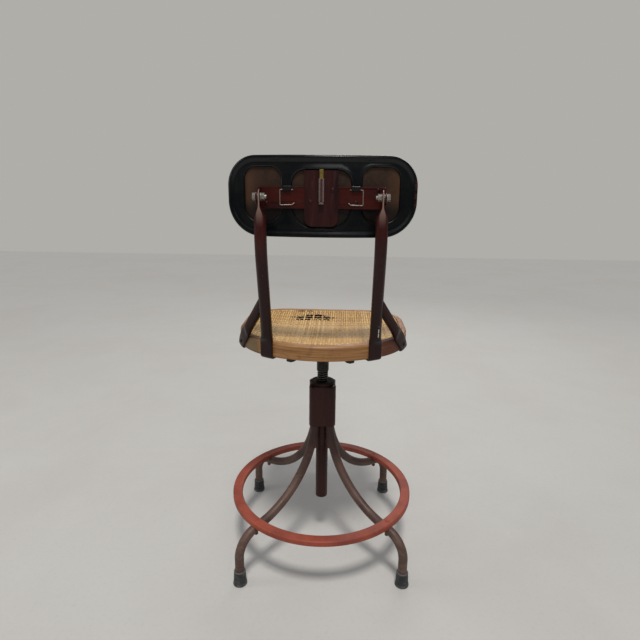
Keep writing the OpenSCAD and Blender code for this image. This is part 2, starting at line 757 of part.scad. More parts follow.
module pivot_washers() {
    inner_x = post_x - blade_t / 2 - small_washer_t;
    color([0.7, 0.7, 0.68])
    for (m = [0, 1]) mirror([m, 0, 0]) for (x = [inner_x, post_x + blade_t / 2 + gap, bar_half])
        translate([x, pivot_y, pivot_z]) rotate([0, 90, 0]) difference() {
            cylinder(h = small_washer_t, d = 2 * pivot_d);
            translate([0, 0, -1]) cylinder(h = small_washer_t + 2, d = pivot_d + 2 * press);
        }
}

// Backrest

module crossbar() {
    color([0.2, 0.09, 0.08])
    difference() {
        union() {
            translate([-bar_half, bar_y, bar_top - bar_h]) cube([2 * bar_half, bar_t, bar_h]);
            for (m = [0, 1]) mirror([m, 0, 0]) translate([bar_half - bar_t, 0, pivot_z]) rotate([0, 90, 0])
                linear_extrude(bar_t) {
                    translate([pivot_z - bar_top, bar_y]) square([bar_h, bar_t + ear_root]);
                    translate([0, pivot_y]) circle(r = ear_r);
                    translate([-ear_r, bar_y + bar_t]) square([2 * ear_r, pivot_y - bar_y - bar_t]);
                }
        }
        for (m = [0, 1]) mirror([m, 0, 0]) translate([bar_half - bar_t - 1, pivot_y, pivot_z])
            rotate([0, 90, 0]) cylinder(h = bar_t + 2, d = pivot_d + slip);
        for (p = rivet_spots) translate([p[0], bar_y - 1, pivot_z + p[1]]) rotate([-90, 0, 0])
            cylinder(h = bar_t + 2, d = rivet_d + 2 * press);
    }
}

// Rivets: two hold the plate, one stands by the right web, and one near each end of the bar
rivet_d = 4;
plate_rivets = [[plate_w / 2 - 12, -9], [12 - plate_w / 2, 14]];
rivet_spots = concat(plate_rivets,
    [[-(tab_x0 + tab_x1) / 2, -10.2], [bar_half - 17.5, -12.6], [15.3 - bar_half, 14]]);

module centre_plate() {
    r = 16;
    color([0.24, 0.13, 0.12])
    difference() {
        translate([0, plate_y, 0]) rotate([90, 0, 0]) mirror([0, 0, 1]) linear_extrude(plate_t) {
            translate([-plate_w / 2, plate_z0 + r]) square([plate_w, plate_z1 - plate_z0 - r]);
            translate([-plate_w / 2 + r, plate_z0]) square([plate_w - 2 * r, r + 1]);
            for (s = [-1, 1]) translate([s * (plate_w / 2 - r), plate_z0 + r]) circle(r = r);
        }
        for (p = plate_rivets) translate([p[0], plate_y - 1, pivot_z + p[1]]) rotate([-90, 0, 0])
            cylinder(h = plate_t + 2, d = rivet_d + 2 * press);
    }
}

module rivet(l) {
    rotate([-90, 0, 0]) {
        translate([0, 0, -l]) cylinder(h = l, d = rivet_d);
        rotate_extrude() polygon([[0, 0], [rivet_d, 0], [rivet_d * 0.85, 1], [rivet_d * 0.45, 1.8], [0, 2]]);
    }
}

module bar_rivets() {
    color([0.3, 0.18, 0.17])
    union() {
        for (p = plate_rivets) translate([p[0], plate_y + plate_t, pivot_z + p[1]]) rivet(plate_t + bar_t);
        for (k = [2:len(rivet_spots) - 1])
            translate([rivet_spots[k][0], plate_y, pivot_z + rivet_spots[k][1]])
            rivet(bar_t);
    }
}

// A folded channel with side lips, which guides the catch bolt up and down
module catch_channel() {
    lip = 1.8;
    color([0.45, 0.4, 0.38])
    translate([0, plate_y + plate_t, channel_z0]) linear_extrude(channel_z1 - channel_z0) difference() {
        translate([-catch_w / 2, 0]) square([catch_w, channel_depth]);
        translate([channel_wall - catch_w / 2, channel_wall])
            square([catch_w - 2 * channel_wall, channel_depth - 2 * channel_wall]);
        translate([channel_wall + lip - catch_w / 2, channel_wall])
            square([catch_w - 2 * (channel_wall + lip), channel_depth]);
    }
}

module catch_bolt() {
    t = channel_depth - 2 * (channel_wall + slip);
    y0 = plate_y + plate_t + channel_wall + slip;
    w = catch_w - 2 * (channel_wall + slip);
    grip_z = channel_z0 - 4.5;
    grip_h = 3.5;
    color([0.55, 0.48, 0.2])
    union() {
        translate([-w / 2, y0, grip_z + grip_h - 1]) cube([w, t, plate_z1 + 2 - grip_z - grip_h + 1]);
        translate([-catch_w / 2, y0, grip_z]) cube([catch_w, t + 4, grip_h]);
    }
}

// Points of a rounded rectangle, w by h, as pairs above and below the middle line
function shell_half(w, h, r) = concat(
    [for (k = [0:8]) let (a = 90 * k / 8) [w / 2 - r + r * cos(a), h / 2 - r + r * sin(a)]],
    [for (k = [1:11]) [(w / 2 - r) * (1 - k / 6), h / 2]],
    [for (k = [0:8]) let (a = 90 + 90 * k / 8) [-w / 2 + r + r * cos(a), h / 2 - r + r * sin(a)]]);

// Outline of the shell drawn in by o, as [x, height] points: along the top, then back along the bottom
function shell_outline(o) = let (w = shell_w - 2 * o, h = shell_h - 2 * o,
    top = shell_half(w, h, shell_r - o), low = shell_half(w, h, shell_low_r - o), n = len(top))
    [for (i = [0:2 * n - 1]) i < n ? top[i] : [low[2 * n - 1 - i][0], -low[2 * n - 1 - i][1]]];

// A ring of the pressed form, drawn in by o and set back by d from its rear face
function shell_ring(o, d) = [for (p = shell_outline(o)) [p[0], shell_y(p[0]) - d, shell_z + p[1]]];

// Joins rings of equal length into one closed skin, and closes both ends with strips
module ring_skin(rings) {
    n = len(rings[0]);
    m = len(rings);
    half = n / 2;
    sides = [for (j = [0:m - 2]) for (i = [0:n - 1]) let (a = j * n + i, b = j * n + (i + 1) % n)
        each [[a, b, b + n], [a, b + n, a + n]]];
    last = (m - 1) * n;
    first_cap = [for (i = [0:half - 2]) let (a = i, b = i + 1, c = n - 2 - i, d = n - 1 - i)
        each [[a, c, b], [a, d, c]]];
    last_cap = [for (i = [0:half - 2])
        let (a = last + i, b = last + i + 1, c = last + n - 2 - i, d = last + n - 1 - i)
        each [[a, b, c], [a, c, d]]];
    polyhedron(points = [for (r = rings) each r], faces = concat(sides, first_cap, last_cap), convexity = 6);
}

// Outline of an opening, with its own radius for the upper and the lower corners
module opening2d(w, h, r, low_r) {
    translate([-w / 2, low_r - h / 2]) square([w, h - r - low_r]);
    translate([r - w / 2, 0]) square([w - 2 * r, h / 2]);
    translate([low_r - w / 2, -h / 2]) square([w - 2 * low_r, h / 2]);
    for (m = [-1, 1]) {
        translate([m * (w / 2 - r), h / 2 - r]) circle(r = r, $fn = 40);
        translate([m * (w / 2 - low_r), low_r - h / 2]) circle(r = low_r, $fn = 40);
    }
}

// Cuts its flat child through the whole depth of the backrest
module through_back() {
    reach = shell_w / 2;
    translate([0, shell_back_y + reach / 4, 0]) rotate([90, 0, 0]) linear_extrude(reach) children();
}

// The pressed back shell: a dished sheet with a rolled rim, three openings, and
// two tabs that hook over the crossbar
module back_shell() {
    t = sheet_t;
    outer = [[0, flange_d], [0, 5], [1.2, 1.8], [4, 0], [9, 0.6], [16, 2.2], [26, web_depth]];
    inner = [[26 + t / 2, web_depth + t], [16, 2.2 + t], [9 + t / 2, 0.6 + t], [4 + t / 2, t],
        [1.2 + t, 1.8 + t], [t, 5 + t / 2], [t, flange_d]];
    color([0.08, 0.09, 0.1])
    union() {
        difference() {
            ring_skin([for (p = outer) shell_ring(p[0], p[1])]);
            ring_skin([for (k = [len(inner) - 1:-1:0])
                shell_ring(inner[k][0], inner[k][1] + (k == 6 ? 1 : 0))]);
            through_back() {
                translate([0, mid_open_z]) opening2d(mid_open_w, mid_open_h, 26, 46);
                for (s = [-1, 1]) translate([s * side_open_x, side_open_z])
                    opening2d(side_open_w, side_open_h, 22, 30);
            }
        }
        for (m = [0, 1]) mirror([m, 0, 0]) bar_tab();
    }
}

// A tab of the shell: back over the top of the crossbar and down behind the clip
module bar_tab() {
    lip_y = plate_y + wire_d + 4 * press;
    translate([0, 0, tab_top]) linear_extrude(sheet_t) polygon([
        [tab_x0, shell_y(tab_x0) - web_depth - sheet_t / 2], [tab_x0, lip_y + sheet_t],
        [tab_x1, lip_y + sheet_t], [tab_x1, shell_y(tab_x1) - web_depth - sheet_t / 2]]);
    translate([tab_x0, lip_y, clip_z - 2]) cube([tab_x1 - tab_x0, sheet_t, tab_top + sheet_t - clip_z + 2]);
}

// Fibre panel behind the pad, bent to the same curve as the shell
module backing_panel() {
    color([0.28, 0.22, 0.17])
    intersection() {
        translate([0, curve_cy - panel_depth, shell_z - shell_h]) difference() {
            cylinder(h = 2 * shell_h, r = shell_curve_r, $fn = 360);
            translate([0, -panel_t, -1]) cylinder(h = 2 * shell_h + 2, r = shell_curve_r, $fn = 360);
        }
        through_back() translate([0, shell_z]) polygon(shell_outline(4));
    }
}

// Padded front, crowned towards the sitter
module back_pad() {
    y0 = panel_depth + panel_t + gap;
    section = [[5, y0], [3, y0 + 3], [2.4, y0 + 7], [4, y0 + pad_t * 0.62], [12, y0 + pad_t * 0.82],
        [24, y0 + pad_t * 0.93], [40, y0 + pad_t]];
    color([0.35, 0.22, 0.14])
    ring_skin([for (p = section) shell_ring(p[0], p[1])]);
}

// A spring wire clip behind the bar: out under the tab, down, and back along the foot
module clip(side) {
    r = 2.5;
    start = web_in_x - 3;
    top = web_w + 1.6;
    drop = bar_h - 18;
    foot = web_w - 1.6;
    color([0.7, 0.68, 0.65])
    mirror([side < 0 ? 1 : 0, 0, 0])
        translate([start, plate_y + wire_d / 2 + press, clip_z]) rotate([0, 90, 0])
            bar_run([[top, r, 90], [drop, r, 92], [foot, r, 38], [5, 0, 0]], wire_d);
}

for (i = [0:3]) leg(i);
for (i = [0:3]) rubber_foot(i);
hub_casting();
hub_nut();
column_tube();
foot_ring();
ring_bolts();
ring_nuts();
stop_washer();
spindle_screw();
stop_nut();
spindle_collar();
seat_iron();
iron_screws();
seat_rim();
seat_cane();
post(1);  // post_left
post(-1);  // post_right
brace(1);  // brace_left
brace(-1);  // brace_right
post_screws();
brace_bolts();
pivot_bolt(1);  // pivot_bolt_left
pivot_bolt(-1);  // pivot_bolt_right
pivot_nut(1);  // pivot_nut_left
pivot_nut(-1);  // pivot_nut_right
pivot_washers();
crossbar();
centre_plate();
bar_rivets();
catch_channel();
catch_bolt();
back_shell();
backing_panel();
back_pad();
clip(1);  // clip_left
clip(-1);  // clip_right
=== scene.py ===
import math
import random
from contextlib import contextmanager

import bmesh
import bpy
import numpy as np
from mathutils import Matrix, Vector
from mathutils.geometry import delaunay_2d_cdt


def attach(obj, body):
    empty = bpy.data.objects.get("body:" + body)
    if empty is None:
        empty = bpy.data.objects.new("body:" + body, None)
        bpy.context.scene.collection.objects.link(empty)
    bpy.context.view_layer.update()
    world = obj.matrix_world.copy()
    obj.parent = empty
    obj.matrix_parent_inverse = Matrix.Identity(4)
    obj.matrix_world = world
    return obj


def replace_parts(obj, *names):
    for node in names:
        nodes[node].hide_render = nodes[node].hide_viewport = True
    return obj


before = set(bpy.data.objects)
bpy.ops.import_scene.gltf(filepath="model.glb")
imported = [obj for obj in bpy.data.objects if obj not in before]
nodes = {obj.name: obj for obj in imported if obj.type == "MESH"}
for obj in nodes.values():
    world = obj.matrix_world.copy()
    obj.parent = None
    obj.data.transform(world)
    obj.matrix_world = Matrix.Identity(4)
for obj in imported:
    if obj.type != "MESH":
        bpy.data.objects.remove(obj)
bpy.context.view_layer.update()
random.seed(7)
MM = 0.001

# Sizes of the construction model, in millimetres
SEAT_H, SEAT_W, SEAT_BACK, SEAT_FRONT = 605, 414, 184, 175
BACK_CURVE_R, SIDE_CURVE_R, CORNER_R = 244, 170, 105
RIM_W, RIM_H, CANE_T, CANE_INSET, CANE_SAG = 26, 35, 2.4, 15, 8
TUBE_D, BACK_TUBE_D, FOOT_CIRCLE_R, BASE_TURN = 22.2, 25, 280, 2.4
HUB_Z, HUB_H, LEG_TOP_R, HUB_WALL = 338, 110, 28.5, 3.1
COLUMN_D, COLUMN_Z, NUT_L, NUT_FLANGE_T = 32, 118, 60, 8
SCREW_D, SCREW_L, COLLAR_D, COLLAR_L, END_D, END_L = 28, 326, 31, 81, 14, 15
RING_D, RING_W, RING_H, RING_WALL, RING_SEAT = 480, 25, 13, 2.4, 2.8
POST_X, PIVOT_Y, PIVOT_H = 120.7, 216, 317
BLADE_T, BLADE_W, TONGUE_T, TONGUE_W, TONGUE_BEND_R, BRACE_H = 4, 30, 5, 33, 5.5, 104
SHELL_W, SHELL_H, SHELL_R, SHELL_LOW_R, SHELL_CURVE_R = 391, 161, 60, 71, 520
SHEET_T, FLANGE_D, PAD_T = 1.6, 13, 20
BAR_H, BAR_DROP, BAR_T, EAR_R = 43, 1.5, 3, 13
WIRE_D, FOOT_D, FOOT_H = 2, 34, 38
SLIP, PRESS, GAP, CURVE_GAP = 0.1, 0.05, 0.4, 0.25

# Forms that only this script gives, in millimetres
HUB_HOLLOW, THREAD_PITCH, THREAD_DEPTH = 1.8, 6, 2.2
CANE_PITCH, STRAND_W, STRAND_T, STRAND_WAVE = 6.0, 4.7, 0.5, 0.45

HUB_TOP = HUB_Z + HUB_H
RIM_Z = SEAT_H - RIM_H
IRON_Z = RIM_Z - 5
COLLAR_Z = IRON_Z - COLLAR_L
SHOULDER_Z = COLLAR_Z - SCREW_L
NUT_Z = HUB_TOP - NUT_L
SEAT_HALF = SEAT_W / 2
ARC_A = math.asin((SEAT_HALF - SIDE_CURVE_R) / (BACK_CURVE_R - SIDE_CURVE_R))
BACK_C = SEAT_BACK - BACK_CURVE_R
SIDE_CX = SEAT_HALF - SIDE_CURVE_R
SIDE_CY = BACK_C + (BACK_CURVE_R - SIDE_CURVE_R) * math.cos(ARC_A)
CORNER_CX = SEAT_HALF - CORNER_R
CORNER_CY = CORNER_R - SEAT_FRONT
PIVOT_Z = SEAT_H + PIVOT_H
BAR_Y = PIVOT_Y - 20 - BAR_T
BAR_TOP = PIVOT_Z - BAR_DROP + BAR_H / 2
PLATE_Y = BAR_Y + BAR_T
WEB_X, WEB_W, WEB_DEPTH = 70.6, 22.8, 2.6
WEB_IN_X = WEB_X - WEB_W / 2
SHELL_SAG = SHELL_CURVE_R - math.sqrt(SHELL_CURVE_R ** 2 - WEB_IN_X ** 2)
SHELL_BACK_Y = BAR_Y - SLIP + SHELL_SAG + WEB_DEPTH
SHELL_Z = PIVOT_Z
CURVE_CY = SHELL_BACK_Y - SHELL_CURVE_R
PANEL_T = 3
PANEL_DEPTH = max(WEB_DEPTH + SHEET_T + GAP, SHELL_BACK_Y - BAR_Y + SLIP)
PAD_DEPTH = PANEL_DEPTH + PANEL_T + GAP
CLIP_Z = BAR_TOP - 6
TAB_TOP = BAR_TOP + SLIP

# Colour and node helpers
def srgb(r, g, b):
    def lin(c):
        c /= 255
        return c / 12.92 if c <= 0.04045 else ((c + 0.055) / 1.055) ** 2.4

    return (lin(r), lin(g), lin(b), 1.0)


class Tree:
    """Builds one procedural material."""

    def __init__(self, name):
        self.mat = bpy.data.materials.new(name)
        self.mat.use_nodes = True
        self.nt = self.mat.node_tree
        self.nt.nodes.clear()
        out = self.new("ShaderNodeOutputMaterial")
        self.bsdf = self.new("ShaderNodeBsdfPrincipled")
        self.put(out.inputs[0], self.bsdf.outputs[0])
        self.coord = self.new("ShaderNodeTexCoord").outputs["Object"]

    def put(self, socket, value):
        if isinstance(value, bpy.types.NodeSocket):
            self.nt.links.new(value, socket)
        else:
            socket.default_value = value

    def fill(self, node, **inputs):
        """Fills sockets by their names, with an underscore for a space."""
        for name, value in inputs.items():
            self.put(node.inputs[name.replace("_", " ")], value)
        return node

    def new(self, kind, **inputs):
        return self.fill(self.nt.nodes.new(kind), **inputs)

    def attribute(self, name, output="Fac"):
        n = self.new("ShaderNodeAttribute")
        n.attribute_name = name
        return n.outputs[output]

    def noise(self, scale, detail, rough=0.55, distortion=0, vec=None):
        n = self.new("ShaderNodeTexNoise", Vector=vec or self.coord, Scale=scale, Detail=detail,
                     Roughness=rough, Distortion=distortion)
        return n.outputs["Fac"]

    def scaled(self, scale, vec=None):
        return self.new("ShaderNodeMapping", Vector=vec or self.coord, Scale=scale).outputs[0]

    def grain(self, scale, detail, rough, distortion=0, vec=None):
        """Noise with a scale for each axis: drawn out along the axis that has the smallest."""
        return self.noise(1.0, detail, rough, distortion, self.scaled(scale, vec))

    def cells(self, scale, feature="F1", vec=None):
        n = self.new("ShaderNodeTexVoronoi", Vector=vec or self.coord, Scale=scale)
        n.feature = feature
        return n.outputs["Distance"]

    def span(self, fac, a, b, c=0.0, d=1.0):
        """Goes smoothly from c to d while fac goes from a to b, and stays at c or d outside them."""
        n = self.new("ShaderNodeMapRange", Value=fac, From_Min=a, From_Max=b, To_Min=c, To_Max=d)
        n.interpolation_type = "SMOOTHSTEP"
        return n.outputs[0]

    def band(self, fac, low, high, fade):
        """1 between low and high, fading just inside them."""
        return self.times(self.span(fac, low, low + fade), self.span(fac, high, high - fade))

    def math(self, op, a, b=0.0):
        n = self.new("ShaderNodeMath")
        n.operation = op
        self.put(n.inputs[0], a)
        self.put(n.inputs[1], b)
        return n.outputs[0]

    def times(self, a, b):
        return self.math("MULTIPLY", a, b)

    def plus(self, a, b):
        return self.math("ADD", a, b)

    def minus(self, a, b):
        return self.math("SUBTRACT", a, b)

    def most(self, a, b):
        return self.math("MAXIMUM", a, b)

    def mix(self, fac, a, b):
        """Colour a where fac is 0, and colour b where it is 1. Each is a socket, or sRGB values to 255."""
        n = self.new("ShaderNodeMix")
        n.data_type = "RGBA"
        self.put(n.inputs[0], fac)
        # The colour sockets come after those for numbers and vectors
        for index, value in ((6, a), (7, b)):
            self.put(n.inputs[index], srgb(*value) if isinstance(value, tuple) else value)
        return n.outputs[2]

    def ramp(self, fac, *stops):
        n = self.new("ShaderNodeValToRGB", Fac=fac)
        e = n.color_ramp.elements
        while len(e) < len(stops):
            e.new(0.5)
        for el, (pos, col) in zip(e, stops):
            el.position = pos
            el.color = srgb(*col)
        return n.outputs[0]

    def axis(self, which, vec=None):
        return self.new("ShaderNodeSeparateXYZ", Vector=vec or self.coord).outputs[which]

    def normal(self):
        return self.new("ShaderNodeNewGeometry").outputs["Normal"]

    def edges(self, radius, lo=0.02, hi=0.12):
        """1 where the surface turns sharply within radius, 0 on plain faces."""
        bev = self.new("ShaderNodeBevel", Radius=radius)
        bev.samples = 4
        dot = self.new("ShaderNodeVectorMath")
        dot.operation = "DOT_PRODUCT"
        self.put(dot.inputs[0], bev.outputs[0])
        self.put(dot.inputs[1], self.normal())
        return self.span(self.minus(1.0, dot.outputs["Value"]), lo, hi)

    def finish(self, color, rough, height, strength, distance, **rest):
        bump = self.new("ShaderNodeBump", Strength=strength, Distance=distance, Height=height)
        self.fill(self.bsdf, Base_Color=color, Roughness=rough, Normal=bump.outputs[0], **rest)
        return self.mat


def old_paint(name, main, deep, worn, rust, wear, rough, edge=0.0012, haze=0.25, coat=0.15, gloss=0.3,
              streak=(60, 60, 60), scuff=None, shade=None, bare_and_highlit=None, flakes=None):
    """Brushed enamel over steel: a little mottled and hazed, chipped to rust, bare along the edges.

    scuff is a rubbed band (low, high, colour).
    shade is a painted shade towards one end (height where it starts, height where it is full, colour).
    Above a given height, what faces the front or the rear is lightened to a given colour: rubbed bare on a
    blade's edges, and a painted highlight down the middle of the flare.
    flakes is an upright row of bare flecks on the rear face (x, low, high, colour).
    """
    t = Tree(name)
    z = t.axis(2)
    big = t.grain([0.25 * k for k in streak], 5, 0.6)
    mid = t.grain(streak, 6, 0.65, 0.6)
    col = t.mix(t.span(big, 0.35, 0.68), main, deep)
    col = t.mix(t.span(mid, 0.5, 0.75, 0, haze), col, worn)
    # Fine long scratches
    scratch = t.grain((900, 900, 60), 4, 0.7, 0.3)
    col = t.mix(t.span(scratch, 0.67, 0.73, 0, 0.45), col, worn)
    # Chips, thicker where a slow noise lets them gather
    gather = t.span(t.noise(22, 3, 0.5), 0.35, 0.75, 0.06, -0.07 * wear)
    chips = t.minus(t.noise(180, 5, 0.7, 0.8), gather)
    chips = t.span(chips, 0.66 - 0.05 * wear, 0.69 - 0.05 * wear)
    if edge:
        broken = t.span(t.noise(240, 4, 0.7), 0.42, 0.62)
        chips = t.most(chips, t.times(t.times(t.edges(edge), broken), 0.8 * wear + 0.1))
    rust_col = t.mix(t.span(t.noise(420, 3, 0.6), 0.35, 0.65), rust, worn)
    col = t.mix(chips, col, rust_col)
    if scuff:
        low, high, rubbed = scuff
        rub = t.span(t.grain((60, 60, 120), 5, 0.7, 0.5), 0.45, 0.75, 0, 0.4)
        col = t.mix(t.times(t.band(z, low * MM, high * MM, 0.02), rub), col, rubbed)
    # Painted shade: darker towards one end of the part
    if shade:
        start, full, shade_colour = shade
        col = t.mix(t.span(z, start * MM, full * MM, 0, 0.75), col, shade_colour)
    # Rubbed bare on the blade's edges, and a painted highlight down the middle of the flare
    if bare_and_highlit:
        height, rubbed = bare_and_highlit
        facing = t.span(t.math("ABSOLUTE", t.axis(1, t.normal())), 0.75, 0.98)
        top = t.span(z, height * MM - 0.05, height * MM, 0, 0.85)
        col = t.mix(t.times(facing, top), col, rubbed)
    if flakes:
        x, low, high, bare = flakes
        off = t.math("ABSOLUTE", t.minus(t.axis(0), x * MM))
        gaps = t.span(t.grain((60, 60, 260), 3, 0.7), 0.4, 0.5)
        along = t.times(t.band(z, low * MM, high * MM, 0.003), gaps)
        rear = t.span(t.axis(1, t.normal()), 0.2, 0.4)
        row = t.times(t.times(t.span(off, 0.0013, 0.0006), along), rear)
        col = t.mix(row, col, bare)
    rgh = t.plus(t.span(mid, 0.2, 0.8, rough - 0.06, rough + 0.1), t.times(chips, 0.3))
    height = t.plus(t.times(t.noise(650, 3, 0.6), 0.1), t.times(mid, 0.2))
    height = t.minus(height, t.times(chips, 0.8))
    return t.finish(col, rgh, height, 0.35, 0.0003, Coat_Weight=coat, Coat_Roughness=0.2,
                    Specular_IOR_Level=gloss)


def bare_metal(name, main, stain, rough, stain_amount=0.5, metallic=1.0):
    """Brushed metal, stained and spotted, lighter along its edges."""
    t = Tree(name)
    mott = t.noise(260, 5, 0.6, 0.4)
    lines = t.grain((500, 500, 60), 3, 0.6)
    spots = t.span(t.noise(700, 3, 0.6), 0.58, 0.7, 0, stain_amount)
    col = t.mix(t.span(mott, 0.4, 0.7, 0, stain_amount), main, stain)
    col = t.mix(spots, col, stain)
    col = t.mix(t.times(t.edges(0.0008), 0.35), col, (255, 255, 255))
    rgh = t.plus(t.span(mott, 0.2, 0.8, rough - 0.08, rough + 0.2), t.times(spots, 0.3))
    return t.finish(col, rgh, t.plus(lines, t.times(spots, -0.6)), 0.3, 0.00015, Metallic=metallic)


# Materials
mat_hub = old_paint("hub", (56, 28, 23), (32, 14, 13), (78, 50, 40), (84, 46, 30),
                    wear=0.3, rough=0.34, haze=0.3, coat=0.08, gloss=0.15, streak=(90, 90, 16))
mat_nut = old_paint("nut", (52, 38, 30), (32, 22, 19), (74, 58, 46), (84, 52, 34),
                    wear=0.4, rough=0.6, haze=0.3, coat=0, gloss=0.12)
# The legs take a painted shade just under the hub
mat_leg = old_paint("base_tube", (90, 67, 58), (62, 43, 37), (112, 92, 82), (88, 54, 38),
                    wear=0.5, rough=0.5, edge=0, haze=0.5, scuff=(20, 130, (118, 106, 94)), coat=0.05,
                    shade=(HUB_Z - 90, HUB_Z - 5, (44, 23, 19)))
mat_ring = old_paint("ring_paint", (148, 70, 50), (120, 55, 42), (150, 90, 72), (84, 44, 32),
                     wear=0.6, rough=0.5, edge=0.0015, haze=0.35, coat=0.05)
# The posts take a painted shade towards their lower end, and a painted highlight down the flare below the
# blade
mat_post = old_paint("back_tube", (60, 22, 19), (36, 12, 11), (84, 50, 43), (112, 92, 78),
                     wear=0.25, rough=0.26, haze=0.2, coat=0.14, gloss=0.15, streak=(70, 70, 22),
                     shade=(840, 690, (28, 14, 13)), bare_and_highlit=(PIVOT_Z - 12, (140, 112, 102)),
                     flakes=(-126.7, 622, 652, (206, 196, 190)))
mat_brace = old_paint("brace_tube", (50, 26, 22), (34, 18, 17), (74, 52, 46), (96, 76, 64),
                      wear=0.2, rough=0.42, edge=0, haze=0.25, coat=0.04, gloss=0.12, streak=(70, 70, 22))
mat_bar = old_paint("bar_paint", (66, 21, 15), (38, 13, 12), (84, 42, 34), (84, 44, 32),
                    wear=0.3, rough=0.3, haze=0.2, coat=0.12, gloss=0.15, streak=(26, 60, 60))
mat_plate = old_paint("plate_paint", (52, 21, 20), (34, 14, 14), (86, 52, 48), (90, 50, 36),
                      wear=0.3, rough=0.34, haze=0.35, coat=0.12, gloss=0.15, streak=(190, 60, 16))
mat_bolt = bare_metal("bolt", (150, 147, 138), (96, 86, 72), 0.46, 0.5, metallic=0.7)
mat_steel = bare_metal("oiled_steel", (52, 52, 52), (16, 15, 15), 0.34, 0.7)
mat_iron = old_paint("seat_iron", (34, 30, 30), (18, 16, 17), (74, 62, 54), (84, 46, 28),
                     wear=0.7, rough=0.5)
mat_channel = bare_metal("channel", (150, 136, 130), (84, 58, 54), 0.36, 0.5)
mat_wire = bare_metal("spring_wire", (160, 148, 138), (92, 82, 76), 0.44, 0.5, metallic=0.8)


def rubber_material():
    """Old rubber, dusty near the floor and along its top edge."""
    t = Tree("rubber")
    z = t.axis(2)
    dust_low = t.span(z, 0.012, 0.001, 0, 0.75)
    mott = t.noise(120, 5, 0.65, 0.5)
    dust = t.times(t.span(mott, 0.45, 0.75), 0.4)
    top = t.times(t.span(z, FOOT_H * MM - 0.0035, FOOT_H * MM - 0.0008), 0.55)
    d = t.most(t.most(dust, top), t.times(dust_low, t.span(mott, 0.3, 0.6)))
    col = t.mix(d, (23, 27, 30), (100, 102, 98))
    pits = t.span(t.cells(700), 0.1, 0.35)
    return t.finish(col, t.span(d, 0, 1, 0.5, 0.85), t.plus(pits, t.times(mott, 2)), 0.35, 0.0003)


def catch_material():
    """Brass where the bolt stands out above its channel, painted over with the plate inside it."""
    t = Tree("brass")
    z = t.axis(2)
    mott = t.noise(300, 5, 0.65, 0.4)
    brass = t.mix(t.span(mott, 0.4, 0.7, 0, 0.7), (176, 156, 84), (96, 78, 36))
    painted = t.mix(t.span(mott, 0.4, 0.7), (62, 22, 22), (84, 46, 40))
    bare = t.span(z, (SHELL_Z + 34) * MM, (SHELL_Z + 36) * MM)
    grip = t.span(z, (SHELL_Z - 10.4) * MM, (SHELL_Z - 11.2) * MM)
    metal = t.most(bare, grip)
    col = t.mix(metal, painted, t.mix(grip, brass, (150, 136, 126)))
    lines = t.grain((700, 700, 60), 3, 0.6)
    return t.finish(col, t.span(mott, 0.2, 0.8, 0.28, 0.5), lines, 0.3, 0.00015, Metallic=metal)


def shell_material():
    """Black japanned sheet: glossy, with dust, hairline scratches and rust chips at the rolled edge."""
    t = Tree("shell_paint")
    mott = t.noise(30, 5, 0.6)
    col = t.mix(t.span(mott, 0.35, 0.7), (9, 11, 13), (14, 15, 16))
    hair = t.span(t.grain((80, 400, 1400), 3, 0.7, 0.2), 0.69, 0.73, 0, 0.2)
    col = t.mix(hair, col, (70, 70, 70))
    dust = t.span(t.noise(900, 2, 0.6), 0.6, 0.75, 0, 0.05)
    col = t.mix(dust, col, (140, 136, 128))
    broken = t.span(t.noise(130, 5, 0.75, 0.6), 0.55, 0.62)
    chip = t.times(t.edges(0.0016, 0.01, 0.1), broken)
    # The right edge is worn through to brown
    edge_x = -SHELL_W / 2
    ragged = t.span(t.grain((60, 60, 220), 4, 0.7), 0.42, 0.6)
    right = t.times(t.span(t.axis(0), (edge_x + 8.5) * MM, (edge_x + 3.5) * MM), ragged)
    chip = t.most(chip, t.times(right, 0.7))
    col = t.mix(chip, col, t.mix(t.noise(500, 3), (96, 52, 34), (62, 34, 26)))
    rgh = t.plus(t.span(mott, 0.3, 0.7, 0.24, 0.36), t.plus(t.times(chip, 0.4), hair))
    # The gloss is gone from the lower half
    gloss = t.span(t.axis(2), (SHELL_Z - 15) * MM, (SHELL_Z + 50) * MM, 0, 0.4)
    height = t.minus(t.times(t.noise(160, 4, 0.6), 0.5), chip)
    return t.finish(col, rgh, height, 0.2, 0.0002, Coat_Weight=gloss, Coat_Roughness=0.22,
                    Specular_IOR_Level=0.12)


def fibre_material():
    """Brown fibre board, lighter towards its two ends."""
    t = Tree("fibre")
    x = t.axis(0)
    mott = t.noise(55, 6, 0.65, 0.5)
    fib = t.grain((400, 400, 1500), 5, 0.7, 0.4)
    col = t.mix(t.span(mott, 0.35, 0.7), (54, 36, 26), (38, 27, 20))
    far = t.span(t.math("ABSOLUTE", x), 0.12, 0.165, 0, 0.5)
    col = t.mix(far, col, (90, 62, 42))
    col = t.mix(t.span(fib, 0.5, 0.75, 0, 0.3), col, (86, 64, 46))
    # Painted shade, darker towards the bottom
    low = t.span(t.axis(2), (SHELL_Z - 2) * MM, (SHELL_Z - 30) * MM, 0, 0.75)
    col = t.mix(low, col, (15, 14, 14))
    return t.finish(col, t.span(mott, 0.2, 0.8, 0.5, 0.75), t.plus(fib, mott), 0.3, 0.0003,
                    Specular_IOR_Level=0.15)


